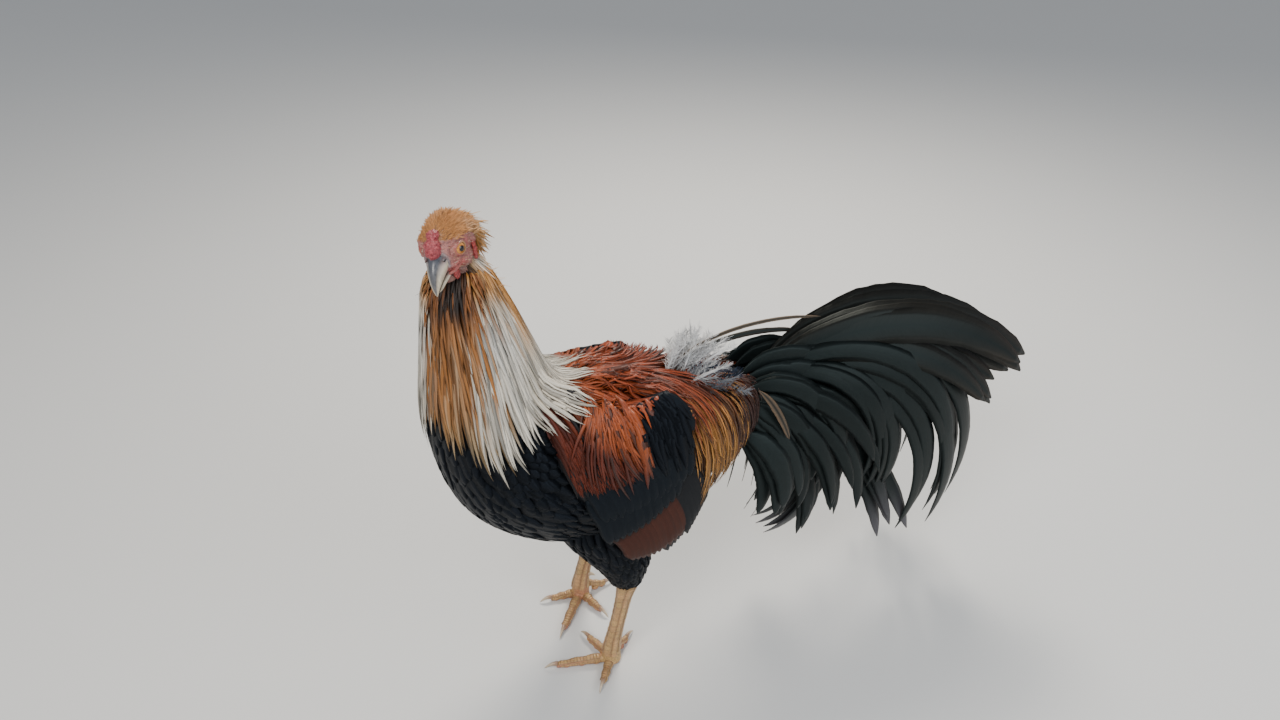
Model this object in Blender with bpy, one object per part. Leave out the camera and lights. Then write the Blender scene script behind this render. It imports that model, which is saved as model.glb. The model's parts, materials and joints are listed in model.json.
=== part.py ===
"""Tan chau cock, life size, standing still with its head turned to its left.

The bird's own frame: X runs to the front, Y to its left, Z up, and the floor is Z = 0. All sizes
are in metres. The body is a row of oval sections from the rump up to the throat, and everything
else is placed from that row: thighs, wings and tail grow from it and the hackles hang over it.
"""

import math
import random

import bmesh
import bpy
from mathutils import Matrix, Vector
from mathutils.bvhtree import BVHTree

for old in list(bpy.data.objects):
    bpy.data.objects.remove(old)

# Driving dimensions of the whole bird
GAP = 0.0003                # air between neighbours that touch
ORIGIN_SHIFT = (0.1797, 0.0002, 0.0)    # brings the middle of the model's box over the origin

# The body's sections: centre x, centre z, tilt of the axis, radius up, radius down, half width
BODY = (
    (-0.168, 0.262, 25, 0.020, 0.020, 0.022),
    (-0.150, 0.262, 25, 0.035, 0.036, 0.038),
    (-0.115, 0.252, 22, 0.054, 0.060, 0.058),
    (-0.070, 0.243, 20, 0.073, 0.078, 0.072),
    (-0.020, 0.243, 20, 0.086, 0.086, 0.080),
    (0.030, 0.255, 28, 0.090, 0.086, 0.082),
    (0.068, 0.280, 45, 0.082, 0.080, 0.080),
    (0.088, 0.310, 62, 0.068, 0.066, 0.070),
    (0.096, 0.345, 78, 0.056, 0.055, 0.058),
    (0.100, 0.385, 84, 0.045, 0.045, 0.046),
    (0.104, 0.420, 86, 0.036, 0.036, 0.036),
    (0.106, 0.446, 90, 0.028, 0.028, 0.028),
    (0.104, 0.462, 90, 0.0195, 0.0195, 0.0195),
)
NECK_BASE = 8.0             # the section where the neck is parted from the torso
NECK_TOP = 12.0
THROAT_SWING = -0.008       # how far the top of the neck leans to the bird's right

# The head's frame, midway between the eyes
HEAD_AT = (0.1143, 0.0, 0.4876)
HEAD_YAW = 53               # degrees to the bird's left
HEAD_DIP = 8                # degrees the beak points down
HEAD_ROLL = 9.7             # degrees the left side is raised
EYE_FORWARD = 0.010
EYE_SIDE = 0.0125
EYE_RADIUS = 0.0065

# Legs and feet
ANKLE = {"left": (0.0, 0.042), "right": (-0.004, -0.058)}
HOCK = {"left": (-0.018, 0.046), "right": (-0.022, -0.052)}
HOCK_HEIGHT = 0.112
TOES = {                    # heading in degrees from the front, and length with the claw
    "left": {
        "middle": (-13.6, 0.070), "outer": (52.6, 0.046), "inner": (-71.5, 0.050), "back": (-144.6, 0.044),
    },
    "right": {
        "middle": (50.0, 0.068), "outer": (-8.0, 0.046), "inner": (108.0, 0.048), "back": (186.0, 0.044),
    },
}
TOE_WIDTH = {"middle": 0.0112, "outer": 0.0098, "inner": 0.0102, "back": 0.0088}
TOE_START = 0.0105          # how far from the ankle's axis a toe parts from the foot
SHANK_SCUTES = 9
TOE_SCUTES = {"middle": 5, "outer": 4, "inner": 4, "back": 3}

# Feathers
VANE_THICK = 0.0007
VANE_AIR = 0.0011           # between feathers of one node
NEIGHBOUR_AIR = 0.0018      # between a feather and another node that it lies over
HACKLE_TIERS = (            # root section, how far the tips stop above the hem, how many, width
    (9.1, 0.0, 16, 0.0205),
    (9.9, 0.8, 14, 0.0195),
    (10.6, 1.7, 11, 0.0180),
    (11.2, 2.7, 9, 0.0155),
    (11.7, 3.6, 7, 0.0135),
)


# Materials

def material(name, colour, roughness, metallic=0.0):
    made = bpy.data.materials.new(name)
    made.use_nodes = True
    shader = made.node_tree.nodes["Principled BSDF"]
    shader.inputs["Base Color"].default_value = (*colour, 1.0)
    shader.inputs["Roughness"].default_value = roughness
    shader.inputs["Metallic"].default_value = metallic
    return made


FINISH = {
    "hackle": material("hackle_gold", (0.62, 0.33, 0.10), 0.55),
    "body": material("body_black", (0.012, 0.014, 0.018), 0.45),
    "wing": material("wing_red", (0.30, 0.07, 0.02), 0.5),
    "tail": material("tail_black_green", (0.010, 0.022, 0.020), 0.35),
    "skin": material("face_red", (0.55, 0.14, 0.12), 0.55),
    "comb": material("comb_red", (0.55, 0.05, 0.05), 0.45),
    "lobe": material("lobe_red", (0.60, 0.22, 0.20), 0.5),
    "beak": material("beak_horn", (0.30, 0.28, 0.24), 0.35),
    "eye": material("eye_amber", (0.55, 0.20, 0.03), 0.1),
    "leg": material("leg_yellow", (0.62, 0.42, 0.22), 0.5),
    "claw": material("claw_horn", (0.62, 0.52, 0.40), 0.4),
}


# Meshes

def mesh_object(name, piece, finish=None):
    """A new object from a piece, which is a list of points and a list of faces."""
    points, faces = piece
    mesh = bpy.data.meshes.new(name)
    mesh.from_pydata([tuple(p) for p in points], [], faces)
    made = bpy.data.objects.new(name, mesh)
    bpy.context.scene.collection.objects.link(made)
    turn_outward(mesh)
    if finish:
        mesh.materials.append(FINISH[finish])
    return made


def turn_outward(mesh):
    """Split all faces into triangles, so that a cutter and what it was made from agree."""
    work = bmesh.new()
    work.from_mesh(mesh)
    bmesh.ops.triangulate(work, faces=work.faces, quad_method="FIXED")
    bmesh.ops.recalc_face_normals(work, faces=work.faces)
    if work.calc_volume(signed=True) < 0:
        bmesh.ops.reverse_faces(work, faces=work.faces)
    work.to_mesh(mesh)
    work.free()


def loft(rings):
    """A closed skin over rings of equally many points, with a fan over each end."""
    count = len(rings[0])
    points = [Vector(p) for ring in rings for p in ring]
    faces = []
    for level in range(len(rings) - 1):
        low = level * count
        for k in range(count):
            after = (k + 1) % count
            faces.append((low + k, low + after, low + count + after, low + count + k))
    for ring, first in ((rings[0], 0), (rings[-1], (len(rings) - 1) * count)):
        middle = sum((Vector(p) for p in ring), Vector()) / count
        points.append(middle)
        hub = len(points) - 1
        faces.extend((first + k, first + (k + 1) % count, hub) for k in range(count))
    return points, faces


def moved(piece, matrix):
    points, faces = piece
    return [matrix @ Vector(p) for p in points], faces


def ball(centre, radii, segments=9, rings=5):
    """A closed oval, its poles along local Z."""
    levels = []
    for level in range(1, rings):
        polar = math.pi * level / rings
        levels.append([
            Vector((
                radii[0] * math.sin(polar) * math.cos(math.tau * k / segments),
                radii[1] * math.sin(polar) * math.sin(math.tau * k / segments),
                radii[2] * math.cos(polar),
            ))
            for k in range(segments)
        ])
    points, faces = loft(levels)
    points[-2] = Vector((0, 0, radii[2]))
    points[-1] = Vector((0, 0, -radii[2]))
    return moved((points, faces), Matrix.Translation(centre))


def evaluated(thing):
    """Apply an object's modifiers."""
    graph = bpy.context.evaluated_depsgraph_get()
    mesh = bpy.data.meshes.new_from_object(thing.evaluated_get(graph))
    old = thing.data
    thing.modifiers.clear()
    thing.data = mesh
    bpy.data.meshes.remove(old)


def keep_largest(thing):
    """Only the largest closed surface of an object stays."""
    work = bmesh.new()
    work.from_mesh(thing.data)
    left = set(work.faces)
    shells = []
    while left:
        shell = {left.pop()}
        edge_of_search = list(shell)
        while edge_of_search:
            face = edge_of_search.pop()
            for edge in face.edges:
                for near in edge.link_faces:
                    if near in left:
                        left.discard(near)
                        shell.add(near)
                        edge_of_search.append(near)
        shells.append(shell)
    shells.sort(key=lambda shell: sum(face.calc_area() for face in shell))
    scraps = [face for shell in shells[:-1] for face in shell]
    bmesh.ops.delete(work, geom=scraps, context="FACES")
    work.to_mesh(thing.data)
    work.free()


def fuse(thing, pieces):
    """Join closed pieces to an object by one union."""
    parts = bpy.data.collections.new(thing.name + "_pieces")
    bpy.context.scene.collection.children.link(parts)
    for number, piece in enumerate(pieces):
        made = mesh_object(f"{thing.name}_piece_{number}", piece)
        bpy.context.scene.collection.objects.unlink(made)
        parts.objects.link(made)
    union = thing.modifiers.new("union", "BOOLEAN")
    union.operation = "UNION"
    union.operand_type = "COLLECTION"
    union.collection = parts
    union.solver = "MANIFOLD"
    evaluated(thing)
    for made in list(parts.objects):
        bpy.data.objects.remove(made)
    bpy.data.collections.remove(parts)
    keep_largest(thing)


def cut(thing, cutter, solver="MANIFOLD"):
    """Take a cutter's space out of an object and remove the cutter."""
    difference = thing.modifiers.new("cut", "BOOLEAN")
    difference.operation = "DIFFERENCE"
    difference.object = cutter
    difference.solver = solver
    evaluated(thing)
    bpy.data.objects.remove(cutter)
    keep_largest(thing)


def swollen(thing, by=GAP):
    """A cutter: an object's mesh moved out along its normals."""
    made = bpy.data.objects.new("cutter", thing.data.copy())
    bpy.context.scene.collection.objects.link(made)
    work = bmesh.new()
    work.from_mesh(made.data)
    work.normal_update()
    shifts = [(vertex, vertex.normal * by * 1.2) for vertex in work.verts]
    for vertex, shift in shifts:
        vertex.co += shift
    work.to_mesh(made.data)
    work.free()
    return made


# Feathers as thin closed strips

def vane(rows, thick=VANE_THICK):
    """A strip with the same triangles on both faces. A row is its left point, right point and outward side."""
    points = []
    faces = []
    for number, (left, right, outward) in enumerate(rows):
        deep = thick * (0.7 if number == len(rows) - 1 else 1.0)
        points.extend((left, right, right + outward * deep, left + outward * deep))
    for number in range(len(rows) - 1):
        a = 4 * number
        b = a + 4
        faces.extend(((a, a + 1, b + 1), (a, b + 1, b)))
        faces.extend(((a + 3, a + 2, b + 2), (a + 3, b + 2, b + 3)))
        faces.extend(((a + 1, a + 2, b + 2), (a + 1, b + 2, b + 1)))
        faces.extend(((a + 3, a, b), (a + 3, b, b + 3)))
    for a in (0, 4 * (len(rows) - 1)):
        faces.extend(((a, a + 1, a + 2), (a, a + 2, a + 3)))
    return points, faces


def strip_rows(centres, outwards, widths):
    """Rows of a feather from its centre line, its outward sides and its widths."""
    rows = []
    last = len(centres) - 1
    for number, (centre, outward, width) in enumerate(zip(centres, outwards, widths)):
        ahead = centres[min(number + 1, last)] - centres[max(number - 1, 0)]
        across = outward.cross(ahead).normalized() * 0.5 * width
        rows.append([centre + across, centre - across, outward])
    return rows


def tree_of(piece):
    return BVHTree.FromPolygons([tuple(p) for p in piece[0]], piece[1])


def shape_of(thing):
    return [v.co.copy() for v in thing.data.vertices], [tuple(f.vertices) for f in thing.data.polygons]


def tree_of_object(thing):
    return tree_of(shape_of(thing))


def shortfall(point, up, layers):
    """How far a point must rise to clear every layer by that layer's air."""
    reach = 0.035
    need = 0.0
    for tree, air in layers:
        hit = tree.ray_cast(point + up * reach, -up, reach + air)
        if hit[0] is not None:
            need = max(need, reach - hit[3] + air)
    return need


def lay(rows, layers):
    """Raise each side of a feather's rows, but not its root, until it clears what lies under it."""
    for number in range(1, len(rows)):
        for along in (1.0, 0.66, 0.33):
            if number == 1 and along < 0.5:
                continue
            behind, here = rows[number - 1], rows[number]
            up = behind[2].lerp(here[2], along).normalized()
            left = behind[0].lerp(here[0], along)
            right = behind[1].lerp(here[1], along)
            lift_left = shortfall(left, up, layers)
            lift_right = shortfall(right, up, layers)
            middle = shortfall(left.lerp(right, 0.5), up, layers) - 0.5 * (lift_left + lift_right)
            more = max(middle, 0.0)
            raised = [here] if along == 1.0 or number == 1 else [here, behind]
            for row in raised:
                row[0] = row[0] + row[2] * (lift_left + more)
                row[1] = row[1] + row[2] * (lift_right + more)
    return rows


def crosses(piece, trees):
    own = tree_of(piece)
    return any(own.overlap(tree) for tree in trees)


def raise_clear(rows, first, trees, step, most):
    """Raise a laid feather further, but not its root, while its rows from the first cross one of the trees."""
    for _ in range(most):
        grown = []
        for left, right, out in rows[first:]:
            lower = out * VANE_AIR * 0.4
            grown.append([left - lower, right - lower, out])
        if not crosses(vane(grown, VANE_THICK + VANE_AIR * 0.8), trees):
            return
        for row in rows[1:]:
            row[0] = row[0] + row[2] * step
            row[1] = row[1] + row[2] * step


def settle(passes, core, neighbours, air=VANE_AIR):
    """Lay feathers pass by pass on a core, each pass over the ones before. Returns the strips."""
    made = []
    own = []
    layers = [(tree_of(core), air)] + [(tree, NEIGHBOUR_AIR) for tree in neighbours]
    for rows_of_pass in passes:
        new = []
        for rows in rows_of_pass:
            lay(rows, layers + [(tree, air) for tree in own])
            raise_clear(rows, 1, own, 0.0003, 3)
            raise_clear(rows, 1, neighbours, 0.0006, 20)
            new.append(vane(rows))
        made.extend(new)
        own.extend(tree_of(piece) for piece in new)
    return made


# The body's oval sections

def between(table, place):
    """A smooth value of a table of rows at a place counted in rows."""
    last = len(table) - 1
    place = min(max(place, 0.0), float(last))
    row = min(int(place), last - 1)
    part = place - row
    before, start = table[max(row - 1, 0)], table[row]
    end, after = table[row + 1], table[min(row + 2, last)]
    values = []
    for a, b, c, d in zip(before, start, end, after):
        square = 2 * a - 5 * b + 4 * c - d
        cube = 3 * b - a - 3 * c + d
        values.append(0.5 * (2 * b + (c - a) * part + square * part ** 2 + cube * part ** 3))
    return values


def body_point(place, around, lift=0.0):
    """The skin at a section, at an angle from the back (0) over the left side (90) to the breast."""
    x, z, tilt, up, down, half = between(BODY, place)
    lean = THROAT_SWING * max(0.0, place - 9.0) / 3.0
    tilt = math.radians(tilt)
    turn = math.radians(around)
    rise = math.cos(turn)
    tall = (up if rise > 0 else down) + lift
    return Vector((
        x - math.sin(tilt) * rise * tall,
        lean + math.sin(turn) * (half + lift),
        z + math.cos(tilt) * rise * tall,
    ))


def body_ring(place, count, lift=0.0):
    return [body_point(place, 360 * k / count, lift) for k in range(count)]


def body_outward(place, around):
    return (body_point(place, around, 0.01) - body_point(place, around)).normalized()


def steps(start, end, count):
    return [start + (end - start) * k / (count - 1) for k in range(count)]


# Torso and neck

def build_torso():
    rings = [body_ring(place, 20) for place in steps(0.0, NECK_BASE, 12)]
    return mesh_object("torso", loft(rings), "body")


def hem(around):
    """The section that the cape's tips reach, lower over the back than on the breast."""
    front = 0.5 - 0.5 * math.cos(math.radians(around))
    return 6.35 + 0.95 * front


def body_feather(root, tip, widths, lifts, parts, swing=1.0):
    """A feather from a root section and angle to a tip section and angle, over the body."""
    centres = []
    outwards = []
    for part, lift in zip(parts, lifts):
        place = root[0] + (tip[0] - root[0]) * part
        around = root[1] + (tip[1] - root[1]) * part ** swing
        centres.append(body_point(place, around, lift))
        outwards.append(body_outward(place, around))
    return strip_rows(centres, outwards, widths)


def build_neck():
    rings = [body_ring(place, 20) for place in steps(NECK_BASE, NECK_TOP, 8)]
    axis = Vector((math.cos(math.radians(BODY[8][2])), 0, math.sin(math.radians(BODY[8][2]))))
    rings[0] = [p + axis * GAP for p in rings[0]]
    return mesh_object("neck", loft(rings), "hackle")


def add_hackles(neck, neighbours):
    """The hackles grow in tiers and hang clear over the shoulders and breast."""
    draw = random.Random(11)
    passes = []
    for root_place, short, count, width in HACKLE_TIERS:
        halves = ([], [])
        for number in range(count):
            around = 360.0 * (number + draw.uniform(-0.2, 0.2)) / count + 7.0 * root_place
            around = (around + 180.0) % 360.0 - 180.0
            tip_place = hem(around) + short + draw.uniform(-0.14, 0.14)
            drift = draw.uniform(-4.0, 4.0)
            wide = width * draw.uniform(0.9, 1.1)
            halves[number % 2].append(body_feather(
                (root_place, around), (tip_place, around + drift),
                [wide * share for share in (0.35, 0.55, 1.0, 0.85, 0.12)],
                (-0.0035, 0.0012, 0.0012, 0.0020, 0.0030), (0.0, 0.09, 0.38, 0.75, 1.0),
            ))
        passes.extend(halves)
    fuse(neck, settle(passes, shape_of(neck), neighbours))


SADDLE_TIERS = (            # added to the root's section, to the tip's section, turn's share, how many, width
    (0.0, 0.0, 1.0, 6, 0.0195),
    (0.9, 0.75, 0.80, 5, 0.0190),
    (1.7, 1.5, 0.60, 3, 0.0195),
)


def saddle_tip(share):
    """Section, angle and lift of the saddle's lower edge, from the wing's rear to the rump."""
    table = ((2.9, 97, 0.004), (2.35, 112, 0.007), (1.75, 124, 0.015), (1.25, 92, 0.012), (0.95, 30, 0.006))
    return between(table, share * (len(table) - 1))


def saddle_root(share):
    return 3.7 - 1.7 * share, 36 - 22 * share


def add_saddle(torso, neighbours):
    """The saddle feathers hang from the back over the wings' rear edges, and down stands up on the rump."""
    draw = random.Random(6)
    passes = []
    for more_root, more_tip, turn_share, count, width in SADDLE_TIERS:
        halves = ([], [])
        for number in range(count):
            share = number / (count - 1)
            root_place, root_turn = saddle_root(share)
            tip_place, tip_turn, lift = saddle_tip(share)
            for side in (1, -1):
                tip_around = side * tip_turn * turn_share + draw.uniform(-2.5, 2.5)
                tip_along = tip_place + more_tip + draw.uniform(-0.06, 0.06)
                halves[number % 2].append(body_feather(
                    (root_place + more_root, side * root_turn * turn_share),
                    (tip_along, tip_around),
                    [width * part for part in (0.35, 0.55, 1.0, 0.80, 0.12)],
                    (-0.0035, 0.0012, 0.0020, 0.4 * lift + 0.001, lift),
                    (0.0, 0.08, 0.42, 0.76, 1.0),
                    1.25,
                ))
        passes.extend(halves)
    down = []
    for number in range(7):
        around = -48 + 16 * number + draw.uniform(-3, 3)
        place = 1.35 + 0.30 * (number % 3)
        outward = body_outward(place, around)
        lean = (outward + Vector((-0.9, 0, 0.2))).normalized()
        root = body_point(place, around, -0.004)
        length = draw.uniform(0.026, 0.036)
        bend = Vector((-0.004, 0, 0))
        centres = [root + lean * length * part + bend * part ** 2 for part in (0.0, 0.35, 0.7, 1.0)]
        side_on = Vector((0.25 * (number % 3 - 1), 1, 0)).normalized()
        facing = lean.cross(side_on).normalized()
        down.append(vane(strip_rows(centres, [facing] * 4, [0.008, 0.011, 0.008, 0.0012])))
    fuse(torso, settle(passes, shape_of(torso), neighbours) + down)


# Head, worked out in its own frame and then turned

HEAD = (
    Matrix.Translation(HEAD_AT)
    @ Matrix.Rotation(math.radians(HEAD_YAW), 4, "Z")
    @ Matrix.Rotation(math.radians(HEAD_DIP), 4, "Y")
    @ Matrix.Rotation(math.radians(HEAD_ROLL), 4, "X")
)

# Sections of the skull: forward, height of the centre, up, down, half width
SKULL = (
    (-0.0290, -0.006, 0.0060, 0.0080, 0.0080),
    (-0.0245, -0.005, 0.0120, 0.0140, 0.0135),
    (-0.0150, -0.002, 0.0175, 0.0185, 0.0180),
    (-0.0030, 0.000, 0.0190, 0.0200, 0.0190),
    (0.0080, 0.000, 0.0180, 0.0195, 0.0180),
    (0.0160, -0.001, 0.0145, 0.0175, 0.0150),
    (0.0220, -0.004, 0.0095, 0.0135, 0.0110),
)
BEAK_UPPER = (
    (0.0224, -0.0050, 0.0085, 0.0090, 0.0095),
    (0.0275, -0.0074, 0.0085, 0.0088, 0.0080),
    (0.0325, -0.0106, 0.0079, 0.0080, 0.0062),
    (0.0366, -0.0148, 0.0062, 0.0064, 0.0045),
    (0.0390, -0.0190, 0.0042, 0.0042, 0.0028),
    (0.0400, -0.0232, 0.0020, 0.0018, 0.0013),
)
COMB_AT = Vector((0.0212, 0, 0.0080))
COMB_LEAN = 40              # degrees that the comb's front hangs down over the beak
BEAK_LOWER = (
    (0.0224, -0.0184, 0.0028, 0.0030, 0.0072),
    (0.0275, -0.0200, 0.0024, 0.0028, 0.0056),
    (0.0320, -0.0222, 0.0018, 0.0022, 0.0040),
    (0.0350, -0.0242, 0.0009, 0.0010, 0.0016),
)


def oval_sections(table, count, levels):
    rings = []
    for place in steps(0.0, len(table) - 1.0, levels):
        forward, height, up, down, half = between(table, place)
        ring = []
        for k in range(count):
            turn = math.tau * k / count
            rise = math.cos(turn)
            ring.append(Vector((forward, half * math.sin(turn), height + rise * (up if rise > 0 else down))))
        rings.append(ring)
    return rings


def lid_ring(side):
    """A soft ring of lid round an eye, longer than it is tall."""
    count = 12
    rings = []
    for k in range(count):
        turn = math.tau * k / count
        centre = Vector((EYE_FORWARD + 0.0062 * math.cos(turn), side * 0.0168, 0.0054 * math.sin(turn)))
        outward = Vector((math.cos(turn), 0, math.sin(turn)))
        ring = []
        for j in range(4):
            roll = math.tau * j / 4
            ring.append(centre + outward * 0.0014 * math.cos(roll) + Vector((0, 0.0017 * math.sin(roll), 0)))
        rings.append(ring)
    points = [p for ring in rings for p in ring]
    faces = []
    for k in range(count):
        for j in range(4):
            low, high = 4 * k, 4 * ((k + 1) % count)
            faces.append((low + j, low + (j + 1) % 4, high + (j + 1) % 4, high + j))
    return points, faces


def level_ring(centre, radius, count):
    turns = [math.tau * k / count for k in range(count)]
    return [centre + Vector((radius * math.cos(turn), radius * math.sin(turn), 0)) for turn in turns]


def build_head():
    head = mesh_object("head", moved(loft(oval_sections(SKULL, 16, 9)), HEAD), "skin")
    throat = []
    throat_foot = Vector((BODY[12][0], THROAT_SWING, BODY[12][1] + GAP))
    throat_top = HEAD @ Vector((-0.008, 0, -0.004))
    for part in steps(0.0, 1.0, 4):
        throat.append(level_ring(throat_foot.lerp(throat_top, part), 0.0192 - 0.004 * part, 12))
    folds = [loft(throat)]
    for side in (1, -1):
        brow = ball((0.0095, side * 0.0135, 0.0085), (0.0095, 0.0035, 0.0026), 8, 4)
        cheek = ball((0.0030, side * 0.0130, -0.0115), (0.0110, 0.0058, 0.0050), 8, 4)
        ear_cover = ball((-0.0110, side * 0.0155, -0.0020), (0.0040, 0.0048, 0.0050), 7, 4)
        folds.extend(moved(fold, HEAD) for fold in (lid_ring(side), brow, cheek, ear_cover))
    fuse(head, folds)
    for side in (1, -1):
        socket = ball((EYE_FORWARD, side * EYE_SIDE, 0), [EYE_RADIUS + GAP * 1.3] * 3, segments=12, rings=6)
        cut(head, mesh_object("socket", moved(socket, HEAD)))
        slit = ball((0.0185, side * 0.0110, -0.0112), (0.0085, 0.0050, 0.0005), segments=10, rings=4)
        cut(head, mesh_object("mouth_slit", moved(slit, HEAD)))
    plane_cut(head, BODY[12][1] + GAP)
    return head


def plane_cut(thing, height):
    """Take everything under a level out of an object."""
    ends = (-0.3, 0.3)
    points = [Vector((x, y, z)) for z in (height - 0.2, height) for y in ends for x in ends]
    faces = [(0, 1, 3, 2), (4, 5, 7, 6), (0, 1, 5, 4), (2, 3, 7, 6), (0, 2, 6, 4), (1, 3, 7, 5)]
    cut(thing, mesh_object("below", (points, faces)))


def build_beak():
    upper = mesh_object("beak_upper", moved(loft(oval_sections(BEAK_UPPER, 14, 8)), HEAD), "beak")
    for side in (1, -1):
        nostril = ball((0.0262, side * 0.0078, -0.0022), (0.0022, 0.0016, 0.0008), segments=8, rings=4)
        cut(upper, mesh_object("nostril", moved(nostril, HEAD)))
    mesh_object("beak_lower", moved(loft(oval_sections(BEAK_LOWER, 12, 6)), HEAD), "beak")
    return upper


def build_comb(head, beak):
    """A low pea comb: an oval cushion with three rows of small beads."""
    points, faces = ball(COMB_AT, (0.0118, 0.0064, 0.0070), segments=12, rings=8)
    raised = []
    for point in points:
        away = point - COMB_AT
        row = math.cos(math.tau * away.y / 0.0052)
        bead = math.cos(math.tau * away.x / 0.0050)
        raised.append(COMB_AT + away * (1.0 + 0.07 * row + 0.05 * bead))
    tipped = Matrix.Rotation(math.radians(COMB_LEAN), 4, "Y")
    lean = Matrix.Translation(COMB_AT) @ tipped @ Matrix.Translation(-COMB_AT)
    comb = mesh_object("comb", moved((raised, faces), HEAD @ lean), "comb")
    cut(comb, swollen(head))
    cut(comb, swollen(beak))
    return comb


def build_lobes(head):
    for name, side in (("left", 1), ("right", -1)):
        lobe = ball((-0.0070, side * 0.0175, -0.0140), (0.0042, 0.0027, 0.0060), segments=10, rings=6)
        cut(mesh_object(f"earlobe_{name}", moved(lobe, HEAD), "lobe"), swollen(head))
        wattle = ball((0.0160, side * 0.0098, -0.0205), (0.0038, 0.0024, 0.0058), segments=10, rings=6)
        cut(mesh_object(f"wattle_{name}", moved(wattle, HEAD), "comb"), swollen(head))
        eye = ball((EYE_FORWARD, side * EYE_SIDE, 0), [EYE_RADIUS] * 3, segments=12, rings=6)
        mesh_object(f"eye_{name}", moved(eye, HEAD), "eye")


# Wings

WING_SHOULDER = (0.048, 0.348)
WING_END = (-0.040, 0.196)
# A tier of wing feathers: roots and tips at the front and rear of the row, how many, width
WING_TIERS = (
    ((-0.010, 0.212), (-0.036, 0.226), (-0.062, 0.156), (-0.082, 0.176), 2, 0.019),
    ((0.012, 0.224), (-0.045, 0.256), (-0.014, 0.160), (-0.071, 0.200), 5, 0.024),
    ((0.030, 0.266), (-0.038, 0.290), (0.004, 0.206), (-0.063, 0.228), 5, 0.026),
    ((0.042, 0.304), (-0.030, 0.320), (0.020, 0.246), (-0.061, 0.264), 4, 0.028),
    ((0.050, 0.338), (-0.018, 0.344), (0.036, 0.288), (-0.050, 0.298), 3, 0.029),
)
WING_AIR = 0.0007           # between the wing's own feathers
WING_BOTTOM_SAG = 0.010     # how far the middle tips of the flight feathers pass the line of the row


def wing_side(x, z):
    """How far out the wing's outer side lies, bending in over the back and under the belly."""
    bend = 2.9 if z > 0.25 else 1.2
    return 0.0845 - bend * (z - 0.25) ** 2 - 1.6 * (x - 0.005) ** 2


def wing_point(x, z, side, lift=0.0):
    return Vector((x, side * (wing_side(x, z) + lift), z))


def wing_outward(x, z, side):
    small = 0.002
    along_x = wing_point(x + small, z, side) - wing_point(x - small, z, side)
    along_z = wing_point(x, z + small, side) - wing_point(x, z - small, side)
    outward = along_x.cross(along_z).normalized()
    return outward if outward.y * side > 0 else -outward


def wing_core(side):
    """The folded arm and the roots of its feathers: a cushion along the flank."""
    along = Vector((WING_END[0] - WING_SHOULDER[0], WING_END[1] - WING_SHOULDER[1]))
    across = Vector((along.y, -along.x)).normalized()
    rings = []
    for part in steps(0.0, 1.0, 8):
        x = WING_SHOULDER[0] + along.x * part
        z = WING_SHOULDER[1] + along.y * part
        wide = 0.008 + 0.034 * math.sin(math.pi * (0.10 + 0.82 * part)) ** 0.8
        thick = 0.0015 + 0.0035 * math.sin(math.pi * (0.08 + 0.84 * part))
        deep = 0.022 - 0.014 * part
        ring = []
        for k in range(14):
            turn = math.tau * k / 14
            px = x + across.x * wide * math.cos(turn)
            pz = z + across.y * wide * math.cos(turn)
            out = math.sin(turn)
            ring.append(wing_point(px, pz, side, out * (thick if out > 0 else deep)))
        rings.append(ring)
    return loft(rings)


def mix(first, second, share):
    return [a + (b - a) * share for a, b in zip(first, second)]


def wing_row(tier, side, draw):
    """One tier of wing feathers, from the front one, which lies lowest, to the rear one."""
    front_root, rear_root, front_tip, rear_tip, count, width = tier
    rows_of_tier = []
    for number in range(count):
        share = number / (count - 1)
        root = mix(front_root, rear_root, share)
        tip = mix(front_tip, rear_tip, share)
        tip[1] -= WING_BOTTOM_SAG * math.sin(math.pi * share)
        tip[0] += draw.uniform(-0.001, 0.001)
        tip[1] += draw.uniform(-0.002, 0.002)
        centres = []
        outwards = []
        for part, lift in ((0.0, 0.0018), (0.10, 0.0030), (0.38, 0.0030), (0.80, 0.0020), (1.0, 0.0015)):
            x, z = mix(root, tip, part)
            x -= 0.006 * math.sin(math.pi * part)
            centres.append(wing_point(x, z, side, lift))
            outwards.append(wing_outward(x, z, side))
        rows_of_tier.append(strip_rows(centres, outwards, [width * w for w in (0.30, 0.45, 1.0, 0.95, 0.30)]))
    return rows_of_tier


def build_wing(name, side, neighbours):
    wing = mesh_object(f"wing_{name}", wing_core(side), "wing")
    for neighbour in neighbours:
        cut(wing, swollen(neighbour))
    draw = random.Random(3)
    passes = []
    for tier in WING_TIERS:
        passes.extend([rows] for rows in wing_row(tier, side, draw))
    fuse(wing, settle(passes, shape_of(wing), [tree_of_object(thing) for thing in neighbours], WING_AIR))
    return wing


# Thighs, shanks and feet

def upright_rings(table, count, levels):
    """Round sections from a table of x, y, z, half length, half width."""
    rings = []
    for place in steps(0.0, len(table) - 1.0, levels):
        x, y, z, long_half, wide_half = between(table, place)
        turns = [math.tau * k / count for k in range(count)]
        centre = Vector((x, y, z))
        rings.append([centre + Vector((long_half * math.cos(t), wide_half * math.sin(t), 0)) for t in turns])
    return rings


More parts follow.
